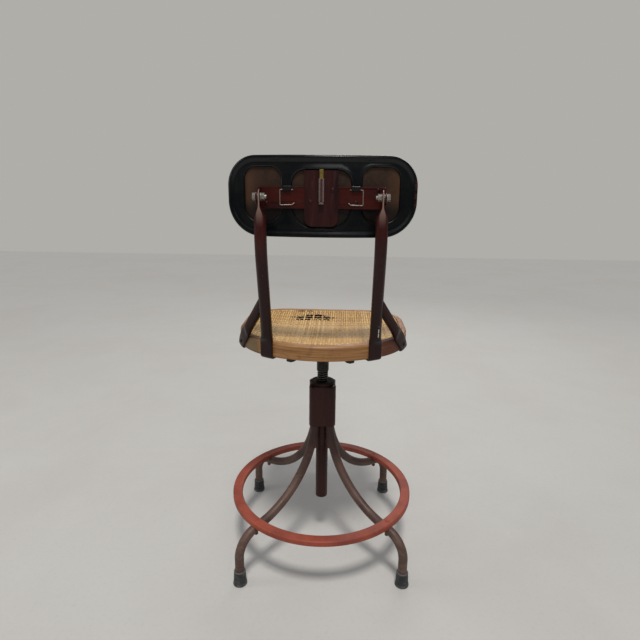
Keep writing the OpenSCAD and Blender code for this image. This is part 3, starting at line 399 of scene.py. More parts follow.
def pad_material():
    """Old leathercloth: pebbled grain, worn high spots, fine cracks."""
    t = Tree("pad")
    grain = t.cells(650, feature="SMOOTH_F1")
    mott = t.noise(26, 5, 0.6, 0.4)
    col = t.mix(t.span(mott, 0.35, 0.7), (98, 62, 38), (74, 45, 28))
    worn = t.span(t.noise(60, 6, 0.7, 0.7), 0.54, 0.74, 0, 0.55)
    col = t.mix(worn, col, (142, 104, 70))
    crack = t.span(t.cells(75, feature="DISTANCE_TO_EDGE", vec=t.scaled((1, 1, 1.6))), 0.0, 0.03, 1, 0)
    crack = t.times(crack, t.span(t.noise(18, 3), 0.5, 0.68))
    col = t.mix(t.times(crack, 0.7), col, (40, 24, 16))
    height = t.minus(t.times(grain, 1.2), t.times(crack, 1.5))
    return t.finish(col, t.span(mott, 0.2, 0.8, 0.4, 0.6), height, 0.5, 0.0004, Sheen_Weight=0.05)


def wood_material():
    """Bent hardwood: the grain runs along the rim; worn varnish, stains, nicks."""
    t = Tree("wood")
    g = t.attribute("grain", "Vector")
    long = t.grain((7, 260, 260), 6, 0.65, 0.6, g)
    pores = t.grain((45, 1500, 1500), 3, 0.7, 0.2, g)
    rings = t.grain((3, 90, 90), 3, 0.5, 1.2, g)
    col = t.ramp(long, (0.28, (104, 66, 32)), (0.5, (146, 102, 54)), (0.72, (176, 132, 78)))
    col = t.mix(t.span(rings, 0.4, 0.62, 0, 0.45), col, (112, 70, 34))
    col = t.mix(t.span(pores, 0.56, 0.7, 0, 0.5), col, (70, 42, 22))
    # Varnish gone pink and pale on the shoulder, with a painted highlight along it
    z = t.axis(2)
    shoulder = t.span(z, (SEAT_H - 7.5) * MM, (SEAT_H - 1.5) * MM)
    shoulder = t.times(shoulder, t.span(t.noise(24, 4, 0.6), 0.35, 0.65, 0, 0.45))
    col = t.mix(shoulder, col, (168, 122, 88))
    # A red-brown spill over the rear right, a green-brown one at the left
    x, y = t.axis(0), t.axis(1)
    blot = t.noise(34, 4, 0.6)
    right = t.times(t.span(x, -0.118, -0.145), t.span(y, 0.05, 0.1))
    right = t.span(t.plus(right, t.times(blot, 0.6)), 0.95, 1.25, 0, 0.85)
    col = t.mix(right, col, (74, 26, 16))
    left = t.times(t.span(x, 0.125, 0.15), t.span(y, 0.04, 0.09))
    left = t.span(t.plus(left, t.times(blot, 0.6)), 1.0, 1.3, 0, 0.6)
    col = t.mix(left, col, (82, 76, 42))
    dirt = t.span(t.noise(48, 6, 0.7, 0.5), 0.52, 0.75, 0, 0.55)
    col = t.mix(dirt, col, (76, 48, 26))
    nick = t.span(t.noise(300, 4, 0.7), 0.66, 0.72, 0, 0.6)
    col = t.mix(nick, col, (196, 158, 110))
    # Dark on the hidden inner face
    inner = t.span(t.axis(2, g), (RIM_W - 1.2) * MM, (RIM_W - 0.3) * MM)
    col = t.mix(inner, col, (34, 22, 14))
    height = t.minus(t.plus(t.times(long, 0.6), t.times(pores, -0.5)), nick)
    rgh = t.plus(t.span(t.noise(40, 4), 0.3, 0.7, 0.38, 0.6), t.times(right, 0.3))
    return t.finish(col, rgh, height, 0.35, 0.0004, Coat_Weight=0.06, Coat_Roughness=0.35)


def cane_material():
    """Yellowed cane, its tone given by each strand."""
    t = Tree("cane")
    s = t.attribute("strand")
    line = t.grain((420, 420, 420), 4, 0.7, 0.1)
    col = t.ramp(s, (0.0, (176, 132, 72)), (0.5, (204, 160, 94)), (1.0, (224, 186, 122)))
    col = t.mix(t.span(line, 0.5, 0.75, 0, 0.35), col, (142, 98, 50))
    stain = t.span(t.noise(16, 5, 0.65, 0.4), 0.5, 0.74, 0, 0.4)
    col = t.mix(stain, col, (142, 98, 50))
    # Painted shade where a strand dips under the next
    col = t.mix(t.span(t.attribute("dip"), 0.15, 0.95, 0, 0.85), col, (62, 40, 20))
    spot = t.span(t.noise(230, 3, 0.7), 0.64, 0.72, 0, 0.7)
    col = t.mix(spot, col, (96, 60, 30))
    return t.finish(col, t.span(line, 0.2, 0.8, 0.36, 0.6), line, 0.35, 0.0003)


def thread_material():
    """Greased thread: black in the root, rubbed bright along the crest."""
    t = Tree("thread_steel")
    x, y = t.axis(0), t.axis(1)
    r = t.math("SQRT", t.plus(t.times(x, x), t.times(y, y)))
    crest = t.span(r, (SCREW_D / 2 - 0.55) * MM, (SCREW_D / 2 - 0.1) * MM)
    mott = t.noise(200, 5, 0.65)
    rubbed = t.times(crest, t.span(mott, 0.35, 0.65, 0.25, 0.8))
    col = t.mix(rubbed, (16, 17, 17), (110, 106, 100))
    return t.finish(col, t.span(mott, 0.2, 0.8, 0.22, 0.5), mott, 0.2, 0.0002, Metallic=0.75)


mat_rubber = rubber_material()
mat_catch = catch_material()
mat_shell = shell_material()
mat_fibre = fibre_material()
mat_pad = pad_material()
mat_wood = wood_material()
mat_cane = cane_material()
mat_thread = thread_material()


# Mesh helpers
X, Y, Z = np.eye(3)
SIDES = ((1, "left"), (-1, "right"))


def add_object(name, data):
    o = bpy.data.objects.new(name, data)
    bpy.context.scene.collection.objects.link(o)
    return o


def mesh_object(name, verts, faces, mat, body, attributes=None):
    """verts in millimetres, in the row frame."""
    me = bpy.data.meshes.new(name)
    places = [tuple(v) for v in np.asarray(verts, float) * MM]
    me.from_pydata(places, [], [tuple(map(int, f)) for f in faces])
    for attr, values in (attributes or {}).items():
        values = np.asarray(values, float)
        if values.ndim == 1:
            me.attributes.new(attr, "FLOAT", "POINT").data.foreach_set("value", values)
        else:
            me.attributes.new(attr, "FLOAT_VECTOR", "POINT").data.foreach_set("vector", values.ravel())
    me.polygons.foreach_set("use_smooth", [True] * len(me.polygons))
    me.update()
    o = add_object(name, me)
    me.materials.append(mat)
    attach(o, body)
    return o


@contextmanager
def mesh_of(o):
    """Opens the mesh of an object, and writes it back at the end."""
    bm = bmesh.new()
    bm.from_mesh(o.data)
    yield bm
    bm.to_mesh(o.data)
    bm.free()


def fix_normals(o):
    with mesh_of(o) as bm:
        bmesh.ops.recalc_face_normals(bm, faces=bm.faces)


def sharp_by_angle(o, degrees=35):
    """Keeps the shading smooth except over edges sharper than that."""
    with mesh_of(o) as bm:
        for e in bm.edges:
            if len(e.link_faces) == 2 and e.calc_face_angle(0) > math.radians(degrees):
                e.smooth = False


def grid_faces(m, n, close=False):
    """Faces between m rings of n points. close joins the last ring to the first."""
    faces = []
    for j in range(m if close else m - 1):
        for i in range(n):
            a, b = j * n + i, j * n + (i + 1) % n
            c, d = ((j + 1) % m) * n + (i + 1) % n, ((j + 1) % m) * n + i
            faces.append((a, b, c, d))
    return faces


def loft(name, rings, mat, body):
    """A closed solid over a row of rings with as many points each."""
    n, m = len(rings[0]), len(rings)
    faces = grid_faces(m, n)
    faces.append(tuple(range(n - 1, -1, -1)))
    faces.append(tuple((m - 1) * n + i for i in range(n)))
    o = mesh_object(name, np.concatenate(rings), faces, mat, body)
    fix_normals(o)
    return o


def around(n):
    """n even angles round a circle."""
    return np.arange(n) * 2 * np.pi / n


def level_ring(r, z, n, centre=(0, 0, 0)):
    """A level ring of n points. r is one radius, or one for each point."""
    a = around(n)
    return np.stack([centre[0] + r * np.cos(a), centre[1] + r * np.sin(a), np.full(n, centre[2] + z)], 1)


def lathe(name, profile, mat, body, centre=(0, 0, 0), n=72, closed=False):
    """profile: (radius, height) pairs in millimetres."""
    rings = [level_ring(r, z, n, centre) for r, z in profile]
    o = mesh_object(name, np.concatenate(rings), grid_faces(len(rings), n, closed), mat, body)
    fix_normals(o)
    sharp_by_angle(o)
    return o


def rounded(points, radius, seg=4):
    """Polyline with its inner corners rounded. points: (x, y); radius: one number or one for each corner."""
    pts = [np.array(p, float) for p in points]
    out = [pts[0]]
    for i in range(1, len(pts) - 1):
        r = radius[i - 1] if isinstance(radius, list) else radius
        a, b, c = pts[i - 1], pts[i], pts[i + 1]
        la, lc = np.linalg.norm(a - b), np.linalg.norm(c - b)
        u, v = (a - b) / la, (c - b) / lc
        k = min(r, la * 0.49, lc * 0.49)
        for s in range(seg + 1):
            f = s / seg
            out.append((1 - f) ** 2 * (b + u * k) + 2 * f * (1 - f) * b + f ** 2 * (b + v * k))
    out.append(pts[-1])
    return [tuple(p) for p in out]


def run_along(pts):
    """Distance run along a row of points, 0 at the first."""
    return np.concatenate([[0], np.cumsum(np.linalg.norm(np.diff(pts, axis=0), axis=1))])


def bent_path(steps, bend, straight=9.0):
    """Stations (point, angle) of a bar from (straight, radius, angle in degrees) steps.

    It starts along +Z in the XZ plane, and a positive angle turns it to +X. The stations lie bend degrees
    apart round a bend, and straight millimetres apart along a straight.
    """
    pos, a = np.zeros(3), 0.0
    out = [(pos.copy(), a)]
    for length, r, turn in steps:
        d = np.array([math.sin(a), 0, math.cos(a)])
        n = max(1, round(length / straight))
        for i in range(1, n + 1):
            out.append((pos + d * length * i / n, a))
        pos = pos + d * length
        if turn:
            s = 1 if turn > 0 else -1
            n = max(2, int(abs(turn) / bend) + 1)
            c = pos + s * r * np.array([math.cos(a), 0, -math.sin(a)])
            for i in range(1, n + 1):
                b = a + math.radians(turn) * i / n
                out.append((c - s * r * np.array([math.cos(b), 0, -math.sin(b)]), b))
            a += math.radians(turn)
            pos = out[-1][0]
    return out


def circle_ring(p, u, v, r, n=36):
    a = around(n)
    return p + r * np.cos(a)[:, None] * u + r * np.sin(a)[:, None] * v


def oval_ring(p, u, v, hu, hv, e, n=48):
    """Superellipse of half sizes hu and hv along u and v. e 2 is round, more is squarer."""
    a = (np.arange(n) + 0.5) * 2 * np.pi / n
    c, s = np.cos(a), np.sin(a)
    return (p + (hu * np.sign(c) * np.abs(c) ** (2 / e))[:, None] * u
            + (hv * np.sign(s) * np.abs(s) ** (2 / e))[:, None] * v)


def turn_z(p, degrees):
    c, s = math.cos(math.radians(degrees)), math.sin(math.radians(degrees))
    p = np.asarray(p, float)
    return np.stack([p[..., 0] * c - p[..., 1] * s, p[..., 0] * s + p[..., 1] * c, p[..., 2]], -1)


def mirrored(rings, sign):
    """The rings as they are for sign 1, and their mirror image on the other side for -1."""
    return [r * np.array([sign, 1, 1]) for r in rings]


def unit(v):
    return v / np.linalg.norm(v)


def smooth_step(x):
    """0 below 0 and 1 above 1, with a smooth change between them."""
    x = min(1.0, max(0.0, x))
    return x * x * (3 - 2 * x)


def dress(node, mat, bevel=0.3, segments=2):
    """A carried-over CAD node: material, and a bevel over its welded mesh."""
    o = nodes[node]
    o.data.materials.clear()
    o.data.materials.append(mat)
    w = o.modifiers.new("weld", "WELD")
    w.merge_threshold = 2e-6
    b = o.modifiers.new("bevel", "BEVEL")
    b.width = bevel * MM
    b.segments = segments
    b.limit_method = "ANGLE"
    b.angle_limit = math.radians(30)


# Base
LEG_NAMES = ["rear_left", "rear_right", "front_right", "front_left"]
# A leg from its top down: radius of its three bends, and its slant in degrees between them
BEND1_R, BEND2_R, BEND3_R, NECK_SLANT, SLOPE_SLANT = 40, 238, 60, 12, 80
LEG_NECK, LEG_DROP, LEG_IN_HUB, LEG_END_Z = 3, 10, HUB_H - 6, 6


def leg_numbers():
    """Where the second bend ends (from the axis, height), and the lengths of the slope and the shin."""
    a1, a2 = math.radians(NECK_SLANT), math.radians(SLOPE_SLANT)
    r = (LEG_TOP_R + BEND1_R * (1 - math.cos(a1)) + LEG_NECK * math.sin(a1)
         + BEND2_R * (math.cos(a1) - math.cos(a2)))
    z = (HUB_Z - LEG_DROP - BEND1_R * math.sin(a1) - LEG_NECK * math.cos(a1)
         - BEND2_R * (math.sin(a2) - math.sin(a1)))
    slope = (FOOT_CIRCLE_R - r - BEND3_R * (1 - math.cos(a2))) / math.sin(a2)
    return r, z, slope, z - slope * math.cos(a2) - BEND3_R * math.sin(a2) - LEG_END_Z


SLOPE_TOP_R, SLOPE_TOP_Z, SLOPE_L, SHIN_L = leg_numbers()
LEG_STEPS = [(LEG_IN_HUB + LEG_DROP, BEND1_R, NECK_SLANT), (LEG_NECK, BEND2_R, SLOPE_SLANT - NECK_SLANT),
             (SLOPE_L, BEND3_R, -SLOPE_SLANT), (SHIN_L, 0, 0)]
FOOT_R, TUBE_R = FOOT_D / 2, TUBE_D / 2
FOOT_PROFILE = rounded([(0, 0), (FOOT_R - 4, 0), (FOOT_R - 3.4, 0.9), (FOOT_R - 1.6, 0.2), (FOOT_R, 1.4),
                        (FOOT_R, 5), (FOOT_R - 1.3, 7.2), (TUBE_R + 3.4, 30), (TUBE_R + 3.1, FOOT_H - 1.4),
                        (TUBE_R + 2.4, FOOT_H - 0.1), (TUBE_R + 0.25, FOOT_H), (TUBE_R + 0.1, 34)],
                       [0.3, 0.4, 0.5, 0.8, 1.2, 1.2, 3, 0.8, 0.5, 0.3])
for i, where in enumerate(LEG_NAMES):
    turn = 45 + 90 * i + BASE_TURN
    rings = []
    for p, a in bent_path(LEG_STEPS, bend=3.0):
        ring = circle_ring(p, np.array([math.cos(a), 0, -math.sin(a)]), Y, TUBE_R)
        ring = ring * np.array([1, -1, -1]) + np.array([LEG_TOP_R, 0, HUB_Z + LEG_IN_HUB])
        rings.append(turn_z(ring, turn))
    leg = loft("tube_leg_" + where, rings, mat_leg, "base")
    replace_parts(leg, "leg_" + where)

    at = turn_z(X * FOOT_CIRCLE_R, turn)
    foot = lathe("rubber_foot_" + where, FOOT_PROFILE, mat_rubber, "base", centre=at, n=56)
    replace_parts(foot, "foot_" + where)


def ring_section():
    """Pressed channel, open below, let into the slope of the legs by the depth of its seat."""
    r_in, r_out = RING_D / 2 - RING_W, RING_D / 2
    wall_in, wall_out, wall_top = r_in + RING_WALL, r_out - RING_WALL, RING_H - RING_WALL
    outer = rounded([(r_in, 0), (r_in, RING_H), (r_out, RING_H), (r_out, 0)], 3.5, 6)
    inner = rounded([(wall_out, 0), (wall_out, wall_top), (wall_in, wall_top), (wall_in, 0)], 1.6)
    section = ([(r_in, 0.5)] + outer[1:-1] + [(r_out, 0.5), (r_out - 0.5, 0), (wall_out + 0.4, 0)] + inner
               + [(r_in + 0.5, 0)])
    leg_z = SLOPE_TOP_Z - (RING_D / 2 - RING_W / 2 - SLOPE_TOP_R) / math.tan(math.radians(SLOPE_SLANT))
    return [(r, z + leg_z + TUBE_R - RING_SEAT) for r, z in section]


ring = lathe("footrest_ring", ring_section(), mat_ring, "base", n=192, closed=True)
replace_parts(ring, "foot_ring")


def hub_outline(grow):
    """Radii of four lobes round the legs, with shallow hollows cast between them."""
    a = around(HUB_POINTS)
    from_hollow = (a - math.radians(BASE_TURN) + np.pi / 4) % (np.pi / 2) - np.pi / 4
    from_lobe = np.pi / 4 - np.abs(from_hollow)
    big = TUBE_R + HUB_WALL
    chord = np.maximum(0, big ** 2 - (LEG_TOP_R * np.sin(from_lobe)) ** 2)
    lobe = LEG_TOP_R * np.cos(from_lobe) + np.sqrt(chord)
    flat = LEG_TOP_R * math.sqrt(0.5) + big - HUB_HOLLOW * np.cos(2 * from_hollow) ** 2
    lobe_half = math.radians(21)
    return np.where(from_lobe < lobe_half, lobe, np.maximum(lobe, flat / np.cos(from_hollow))) + grow


# How far the outline grows, with the height: rounded at both ends, a little uneven between them
HUB_POINTS = 192
hub_steps = ([(-14, 0), (-2.2, 0), (-1.0, 0.25), (-0.3, 0.9), (0, 2), (0, 12)]
             + [(0.12 * math.sin(k * 1.7), 12 + k * 8) for k in range(1, 11)]
             + [(0, HUB_H - 4), (0, HUB_H - 1.6), (-0.4, HUB_H - 0.6), (-1.4, HUB_H), (-12, HUB_H)])
rings = [level_ring(hub_outline(grow), HUB_Z + z, HUB_POINTS) for grow, z in hub_steps]
hub = loft("cast_hub", rings, mat_hub, "base")
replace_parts(hub, "hub_casting")

bore, outer, top = SCREW_D / 2 + 0.05, LEG_TOP_R + 2, HUB_TOP + NUT_FLANGE_T
prof = rounded([(bore, NUT_Z), (bore, top), (outer - 1, top), (outer, top - 1.5), (outer, HUB_TOP),
                (COLUMN_D / 2, HUB_TOP), (COLUMN_D / 2, NUT_Z), (bore, NUT_Z)],
               [0.9, 1.2, 1.2, 0.6, 0.3, 0.3])
nut = lathe("spindle_nut_flange", prof, mat_nut, "base", n=96)
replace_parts(nut, "hub_nut")

bore, outer = SCREW_D / 2 + 0.8, COLUMN_D / 2
prof = rounded([(bore, NUT_Z), (bore, COLUMN_Z), (outer, COLUMN_Z), (outer, NUT_Z), (bore, NUT_Z)],
               [0.35, 0.4, 0.1])
column = lathe("column_sleeve", prof, mat_hub, "base")
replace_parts(column, "column_tube")


# Spindle
def threaded_spindle():
    """A square-shouldered thread from the shoulder to inside the collar, with the plain end below it."""
    n, rows_a_turn = 64, 12
    # How much of the thread's depth is cut away, by the part of the pitch
    thread = [(0, 0), (0.16, 0), (0.24, 0.5), (0.3, 1), (0.66, 1), (0.74, 0.5), (0.8, 0), (1, 0)]
    top, end = COLLAR_Z + 3, SHOULDER_Z - END_L
    rings = [level_ring(r, z, n) for r, z in (
        (0.5, end), (END_D / 2 - 1, end), (END_D / 2, end + 1), (END_D / 2, SHOULDER_Z - 0.2),
        (END_D / 2 + 0.5, SHOULDER_Z))]
    rows = int((top - SHOULDER_Z) / THREAD_PITCH * rows_a_turn)
    for j in range(rows + 1):
        rise = (top - SHOULDER_Z) * j / rows
        cut = np.interp((rise / THREAD_PITCH - around(n) / (2 * np.pi)) % 1.0, *zip(*thread))
        fade = min(1.0, rise / 3)
        r = SCREW_D / 2 - THREAD_DEPTH * cut * fade - 0.6 * (1 - fade)
        rings.append(level_ring(r, SHOULDER_Z + rise, n))
    o = loft("threaded_spindle", rings, mat_thread, "seat")
    sharp_by_angle(o, 30)
    return o


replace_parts(threaded_spindle(), "spindle_screw")

bore, outer, flange = SCREW_D / 2 + 0.05, COLLAR_D / 2, 36
prof = rounded([(bore, COLLAR_Z), (outer, COLLAR_Z), (outer, IRON_Z - 6), (outer + 4, IRON_Z - 6),
                (flange, IRON_Z - 3), (flange, IRON_Z), (SCREW_D / 2, IRON_Z), (bore, COLLAR_Z)],
               [1.2, 1.6, 1.0, 1.0, 0.5, 0.2])
collar = lathe("seat_collar", prof, mat_steel, "seat")
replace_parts(collar, "spindle_collar")


# Seat
def seat_outline():
    """Points and outward normals of the seat's outline, anticlockwise, with the distance run along it."""
    step, least_step = 3.0, 0.2
    quarter = math.pi / 2
    arcs = [(SIDE_CX, SIDE_CY, SIDE_CURVE_R, 0, quarter - ARC_A),
            (0, BACK_C, BACK_CURVE_R, quarter - ARC_A, quarter + ARC_A),
            (-SIDE_CX, SIDE_CY, SIDE_CURVE_R, quarter + ARC_A, math.pi),
            (-CORNER_CX, CORNER_CY, CORNER_R, math.pi, 3 * quarter),
            (CORNER_CX, CORNER_CY, CORNER_R, 3 * quarter, 4 * quarter)]
    pts, nrm = [], []

    def add(p, v):
        if not pts or np.linalg.norm(np.array(p) - pts[-1]) > least_step:
            pts.append(np.array(p, float))
            nrm.append(np.array(v, float))

    def straight_to(p, v):
        base, gap = pts[-1], np.array(p) - pts[-1]
        count = int(np.linalg.norm(gap) / step)
        for s in range(1, count):
            add(base + gap * s / count, v)

    for cx, cy, r, start, end in arcs:
        count = max(2, int((end - start) * r / step))
        for s in range(count + 1):
            a = start + (end - start) * s / count
            v = (math.cos(a), math.sin(a))
            p = (cx + r * v[0], cy + r * v[1])
            if s == 0 and pts:
                straight_to(p, v)
            add(p, v)
    straight_to(pts[0], (1, 0))
    return np.array(pts), np.array(nrm), run_along(pts)


seat_pts, seat_nrm, seat_run = seat_outline()


def rim_piece():
    """The bent rim, with a rebate inside its top for the cane and the grain's own directions."""
    ledge = RIM_H - CANE_T
    sec = rounded([(6, 0), (0, 0), (0, RIM_H), (CANE_INSET - 0.8, RIM_H), (CANE_INSET, RIM_H - 0.6),
                   (CANE_INSET, ledge), (RIM_W, ledge - 0.3), (RIM_W, 0), (8, 0)],
                  [4, 12.5, 0.5, 0.5, 0.6, 1.2, 3], 8)
    verts, grain = [], []
    for p, v, s in zip(seat_pts, seat_nrm, seat_run):
        for (o, z), w in zip(sec, run_along(sec)):
            q = p - v * o
            verts.append((q[0], q[1], RIM_Z + z))
            grain.append((s * MM, z * MM + 0.3 * w * MM, o * MM))
    faces = grid_faces(len(seat_pts), len(sec), close=True)
    o = mesh_object("bent_rim", verts, faces, mat_wood, "seat", {"grain": grain})
    fix_normals(o)
    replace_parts(o, "seat_rim")


rim_piece()

# Half sizes of the caned area by direction
cane_edge = seat_pts - seat_nrm * (CANE_INSET + 0.1)
cane_ang = np.arctan2(cane_edge[:, 1], cane_edge[:, 0])
order = np.argsort(cane_ang)
cane_ang, cane_rad = cane_ang[order], np.linalg.norm(cane_edge, axis=1)[order]
# Part of the half size, at the edge, over which the cane lies flat on the rim
FLAT = (RIM_W - CANE_INSET + 1) / (min(SEAT_HALF, SEAT_FRONT, SEAT_BACK) - CANE_INSET)


def cane_top(x, y):
    """Height of the caned surface, and how far out the place is: 0 in the middle, 1 at the edge."""
    x, y = np.asarray(x, float), np.asarray(y, float)
    reach = np.interp(np.arctan2(y, x), cane_ang, cane_rad, period=2 * np.pi)
    s = np.hypot(x, y) / reach
    return SEAT_H - CANE_SAG * (1 - np.clip(s / (1 - FLAT), 0, 1) ** 2), s


def torn(x, y):
    """How deep inside the torn part of the weave a place is: above 0 is gone."""
    ragged = 0.16 * math.sin(x * 0.61 + y * 0.23) + 0.13 * math.sin(y * 0.9 - x * 0.37)
    big = 1 - math.hypot((x - 29 - 0.12 * (y + 97)) / 50, (y + 94 + 6 * math.sin(x / 15)) / 22) + ragged
    small = 1 - math.hypot((x - 59) / 24, (y + 151) / 9) + ragged
    return max(big, small)


# A strand's section: part of its width across it, and height
STRAND_SECTION = ((-0.5, -0.1), (-0.25, STRAND_T * 0.42), (0.25, STRAND_T * 0.42), (0.5, -0.1),
                  (0, -STRAND_T / 2))
# Places along a strand, from side to side of the seat
STRAND_STEPS = np.arange(-210, 210.01, CANE_PITCH / 4)


def cane_place(u, line, along_x):
    """x and y of the place u along a strand that runs on that line."""
    return (u, line) if along_x else (line, u)


def kept_runs(start, end, line, index, along_x):
    """The stretches of a strand that the tear leaves, as (place along it, depth in the tear)."""
    # A few strands still cross the tear
    hold = 1.2 if index % (3 if along_x else 4) == 1 else 0
    runs = [[]]
    for u in np.arange(start, end + 0.01, CANE_PITCH / 4):
        depth = torn(*cane_place(u, line, along_x)) - hold
        if depth > 0.0:
            runs.append([])
        else:
            runs[-1].append((u, depth))
    return [run for run in runs if len(run) > 3]


def cane_seat():
    """Strands woven over and under each other, loose and sunk round the tear."""
    verts, faces, tones, dips = [], [], [], []

    def strand(index, along_x):
        line = index * CANE_PITCH
        s = cane_top(*cane_place(STRAND_STEPS, np.full(len(STRAND_STEPS), line), along_x))[1]
        inside = STRAND_STEPS[s < 1.0]
        if len(inside) < 6:
            return
        tone = random.random()
        drift = random.uniform(-0.25, 0.25)
        width = STRAND_W * random.uniform(0.9, 1.04)
        side = 1 if along_x else -1
        for run in kept_runs(inside[0], inside[-1], line, index, along_x):
            base = len(verts)
            for u, depth in run:
                x, y = cane_place(u, line + drift + 0.12 * math.sin(u / 31 + index), along_x)
                top, s = cane_top(x, y)
                # Over one strand and under the next, less so at the edge
                over = side * STRAND_WAVE * math.cos(math.pi * u / CANE_PITCH + math.pi * index)
                edge = min(1.0, (1 - float(s)) / 0.03)
                # Near the tear it stands up or hangs down, and twists
                loose = max(0.0, 1 + depth * 4) ** 2
                lift = loose * (1.6 * math.sin(index * 2.3 + (0.8 if along_x else 2.1)) - 1.1)
                z = float(top) - 0.95 + over * edge + lift - (1 - edge) * 0.6
                twist = loose * 0.7 * math.sin(index * 3.1)
                for part, rise in STRAND_SECTION:
                    across = part * width
                    dx, dy = cane_place(0, across, along_x)
                    verts.append((x + dx, y + dy, z + rise + twist * across))
                    tones.append(tone)
                    # Painted shade, deepest where the strand runs under the next
                    dips.append(max(0.0, -over / STRAND_WAVE))
            faces.extend(tuple(base + k for k in face) for face in grid_faces(len(run), 5))
            faces.append(tuple(range(base + 4, base - 1, -1)))
            faces.append(tuple(range(len(verts) - 5, len(verts))))

    count = int(200 / CANE_PITCH)
    for index in range(-count, count + 1):
        strand(index, True)
        strand(index, False)
    o = mesh_object("woven_cane", verts, faces, mat_cane, "seat", {"strand": tones, "dip": dips})
    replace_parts(o, "seat_cane")


cane_seat()

# Posts and braces
POST_RIM_Y = BACK_C + math.sqrt(BACK_CURVE_R ** 2 - POST_X ** 2)
POST_TURN = math.asin(POST_X / BACK_CURVE_R)
TONGUE_HALF, TONGUE_THIN = TONGUE_W / 2, TONGUE_T / 2
# Outward from the rim, and along it
post_n = np.array([math.sin(POST_TURN), math.cos(POST_TURN), 0])
post_t = np.array([math.cos(POST_TURN), -math.sin(POST_TURN), 0])
post_foot = np.array([POST_X, POST_RIM_Y, 0]) + (PRESS + TONGUE_THIN) * post_n
POST_LOW_Y = post_foot[1]
TONGUE_TOP = SEAT_H - 4
POST_LEAN_Z = SEAT_H + 18
POST_BEND_R, POST_TOP_L, BLADE_END, BLADE_RISE, LOFT_L = 190, 30, EAR_R + 2.5, 4.5, 28
POST_TOP_Z = PIVOT_Z - BLADE_END - LOFT_L
lean_rise = POST_TOP_Z - POST_TOP_L - POST_LEAN_Z
lean_run = PIVOT_Y - POST_LOW_Y
POST_LEAN = (math.asin(POST_BEND_R / math.hypot(lean_rise, lean_run - POST_BEND_R))
             - math.atan2(POST_BEND_R - lean_run, lean_rise))
LEAN_L = (lean_rise - POST_BEND_R * math.sin(POST_LEAN)) / math.cos(POST_LEAN)


def blend_ring(p, u0, v0, u1, v1, radius, g):
    """A ring on the way from the flat tongue, where g is 0, to a round tube, where g is 1."""
    f = smooth_step(g)
    w = TONGUE_HALF + (radius - TONGUE_HALF) * f
    t = TONGUE_THIN + (radius - TONGUE_THIN) * f
    return oval_ring(p, unit(u0 * (1 - f) + u1 * f), unit(v0 * (1 - f) + v1 * f), w, t, 5 - 3 * f)


def soften(rings, first, last, passes):
    """Eases the change from ring to ring, between two places in the list."""
    for _ in range(passes):
        eased = [(rings[k - 1] + 2 * rings[k] + rings[k + 1]) / 4 for k in range(first, last)]
        rings[first:last] = eased


def post_rings():
    """From the flat foot under the rim up to the blade at the pivot."""
    tube = BACK_TUBE_D / 2
    low = RIM_Z - TONGUE_THIN
    rings = []
    # Foot under the rim, by the distance in from its bend and the parts of its full width and thickness
    for inward, wide, thick in ((26, 0.8, 0.75), (25.2, 0.93, 1), (22, 1, 1), (14, 1, 1), (8, 1, 1)):
        at = post_foot - post_n * (inward - TONGUE_THIN) + Z * low
        rings.append(oval_ring(at, post_t, Z, (TONGUE_HALF - 0.5) * wide, TONGUE_THIN * thick, 5))
    # Bent up, and up the outside of the rim
    centre = post_foot - post_n * TONGUE_BEND_R + Z * (low + TONGUE_BEND_R)
    for k in range(7):
        b = math.radians(90 * k / 6)
        p = centre + TONGUE_BEND_R * (math.sin(b) * post_n - math.cos(b) * Z)
        v = -math.sin(b) * post_n + math.cos(b) * Z
        rings.append(oval_ring(p, post_t, v, TONGUE_HALF - 0.5 * (1 - k / 6), TONGUE_THIN, 5))
    for z in (RIM_Z + 12, RIM_Z + 24, TONGUE_TOP - 2):
        rings.append(oval_ring(post_foot + Z * z, post_t, -post_n, TONGUE_HALF, TONGUE_THIN, 5))
    # Opens out into the round tube
    lean_v = np.array([0, -math.cos(POST_LEAN), math.sin(POST_LEAN)])
    start = np.array([POST_X, POST_LOW_Y, POST_LEAN_Z])
    for k in range(1, 10):
        g = k / 9
        p = (post_foot + Z * TONGUE_TOP) * (1 - g) + start * g
        rings.append(blend_ring(p, post_t, -post_n, X, lean_v, tube, g))
    opened = len(rings)
    # Round tube: leaning, then bent upright
    steps = [(LEAN_L, POST_BEND_R, -math.degrees(POST_LEAN)), (POST_TOP_L, 0, 0)]
    for p, a in bent_path(steps, straight=12, bend=2.5)[1:]:
        b = a + POST_LEAN
        along = p[0] * math.cos(POST_LEAN) + p[2] * math.sin(POST_LEAN)
        rise = p[2] * math.cos(POST_LEAN) - p[0] * math.sin(POST_LEAN)
        v = np.array([0, -math.cos(b), math.sin(b)])
        rings.append(oval_ring(start + np.array([0, along, rise]), X, v, tube, tube, 2))
    soften(rings, opened - 10, opened + 1, 5)
    # Pressed flat into the blade
    for k in range(1, 11):
        f = smooth_step(k / 10)
        p = np.array([POST_X, PIVOT_Y, POST_TOP_Z + LOFT_L * k / 10])
        thick, wide = tube + (BLADE_T / 2 - tube) * f, tube + (BLADE_W / 2 - tube) * f
        rings.append(oval_ring(p, X, -Y, thick, wide, 2 + 5 * f))
    # Blade, with its round end, which stops at 86 degrees so that its last ring has a width
    round_z = PIVOT_Z + BLADE_RISE
    ends = [math.radians(86 * k / 8) for k in range(1, 9)]
    for z, wide in [(PIVOT_Z - 10, 1), (PIVOT_Z - 3, 1), (round_z, 1)] + [
            (round_z + BLADE_W / 2 * math.sin(a), math.cos(a)) for a in ends]:
        rings.append(oval_ring(np.array([POST_X, PIVOT_Y, z]), X, -Y, BLADE_T / 2, BLADE_W / 2 * wide, 7))
    return rings


BRACE_A, BRACE_SLANT, BRACE_NECK, BRACE_FOOT_IN = math.radians(27), math.radians(46), 26, 22
BRACE_MID_Z, BRACE_FLAT_TOP = SEAT_H - RIM_H / 2, SEAT_H + 8


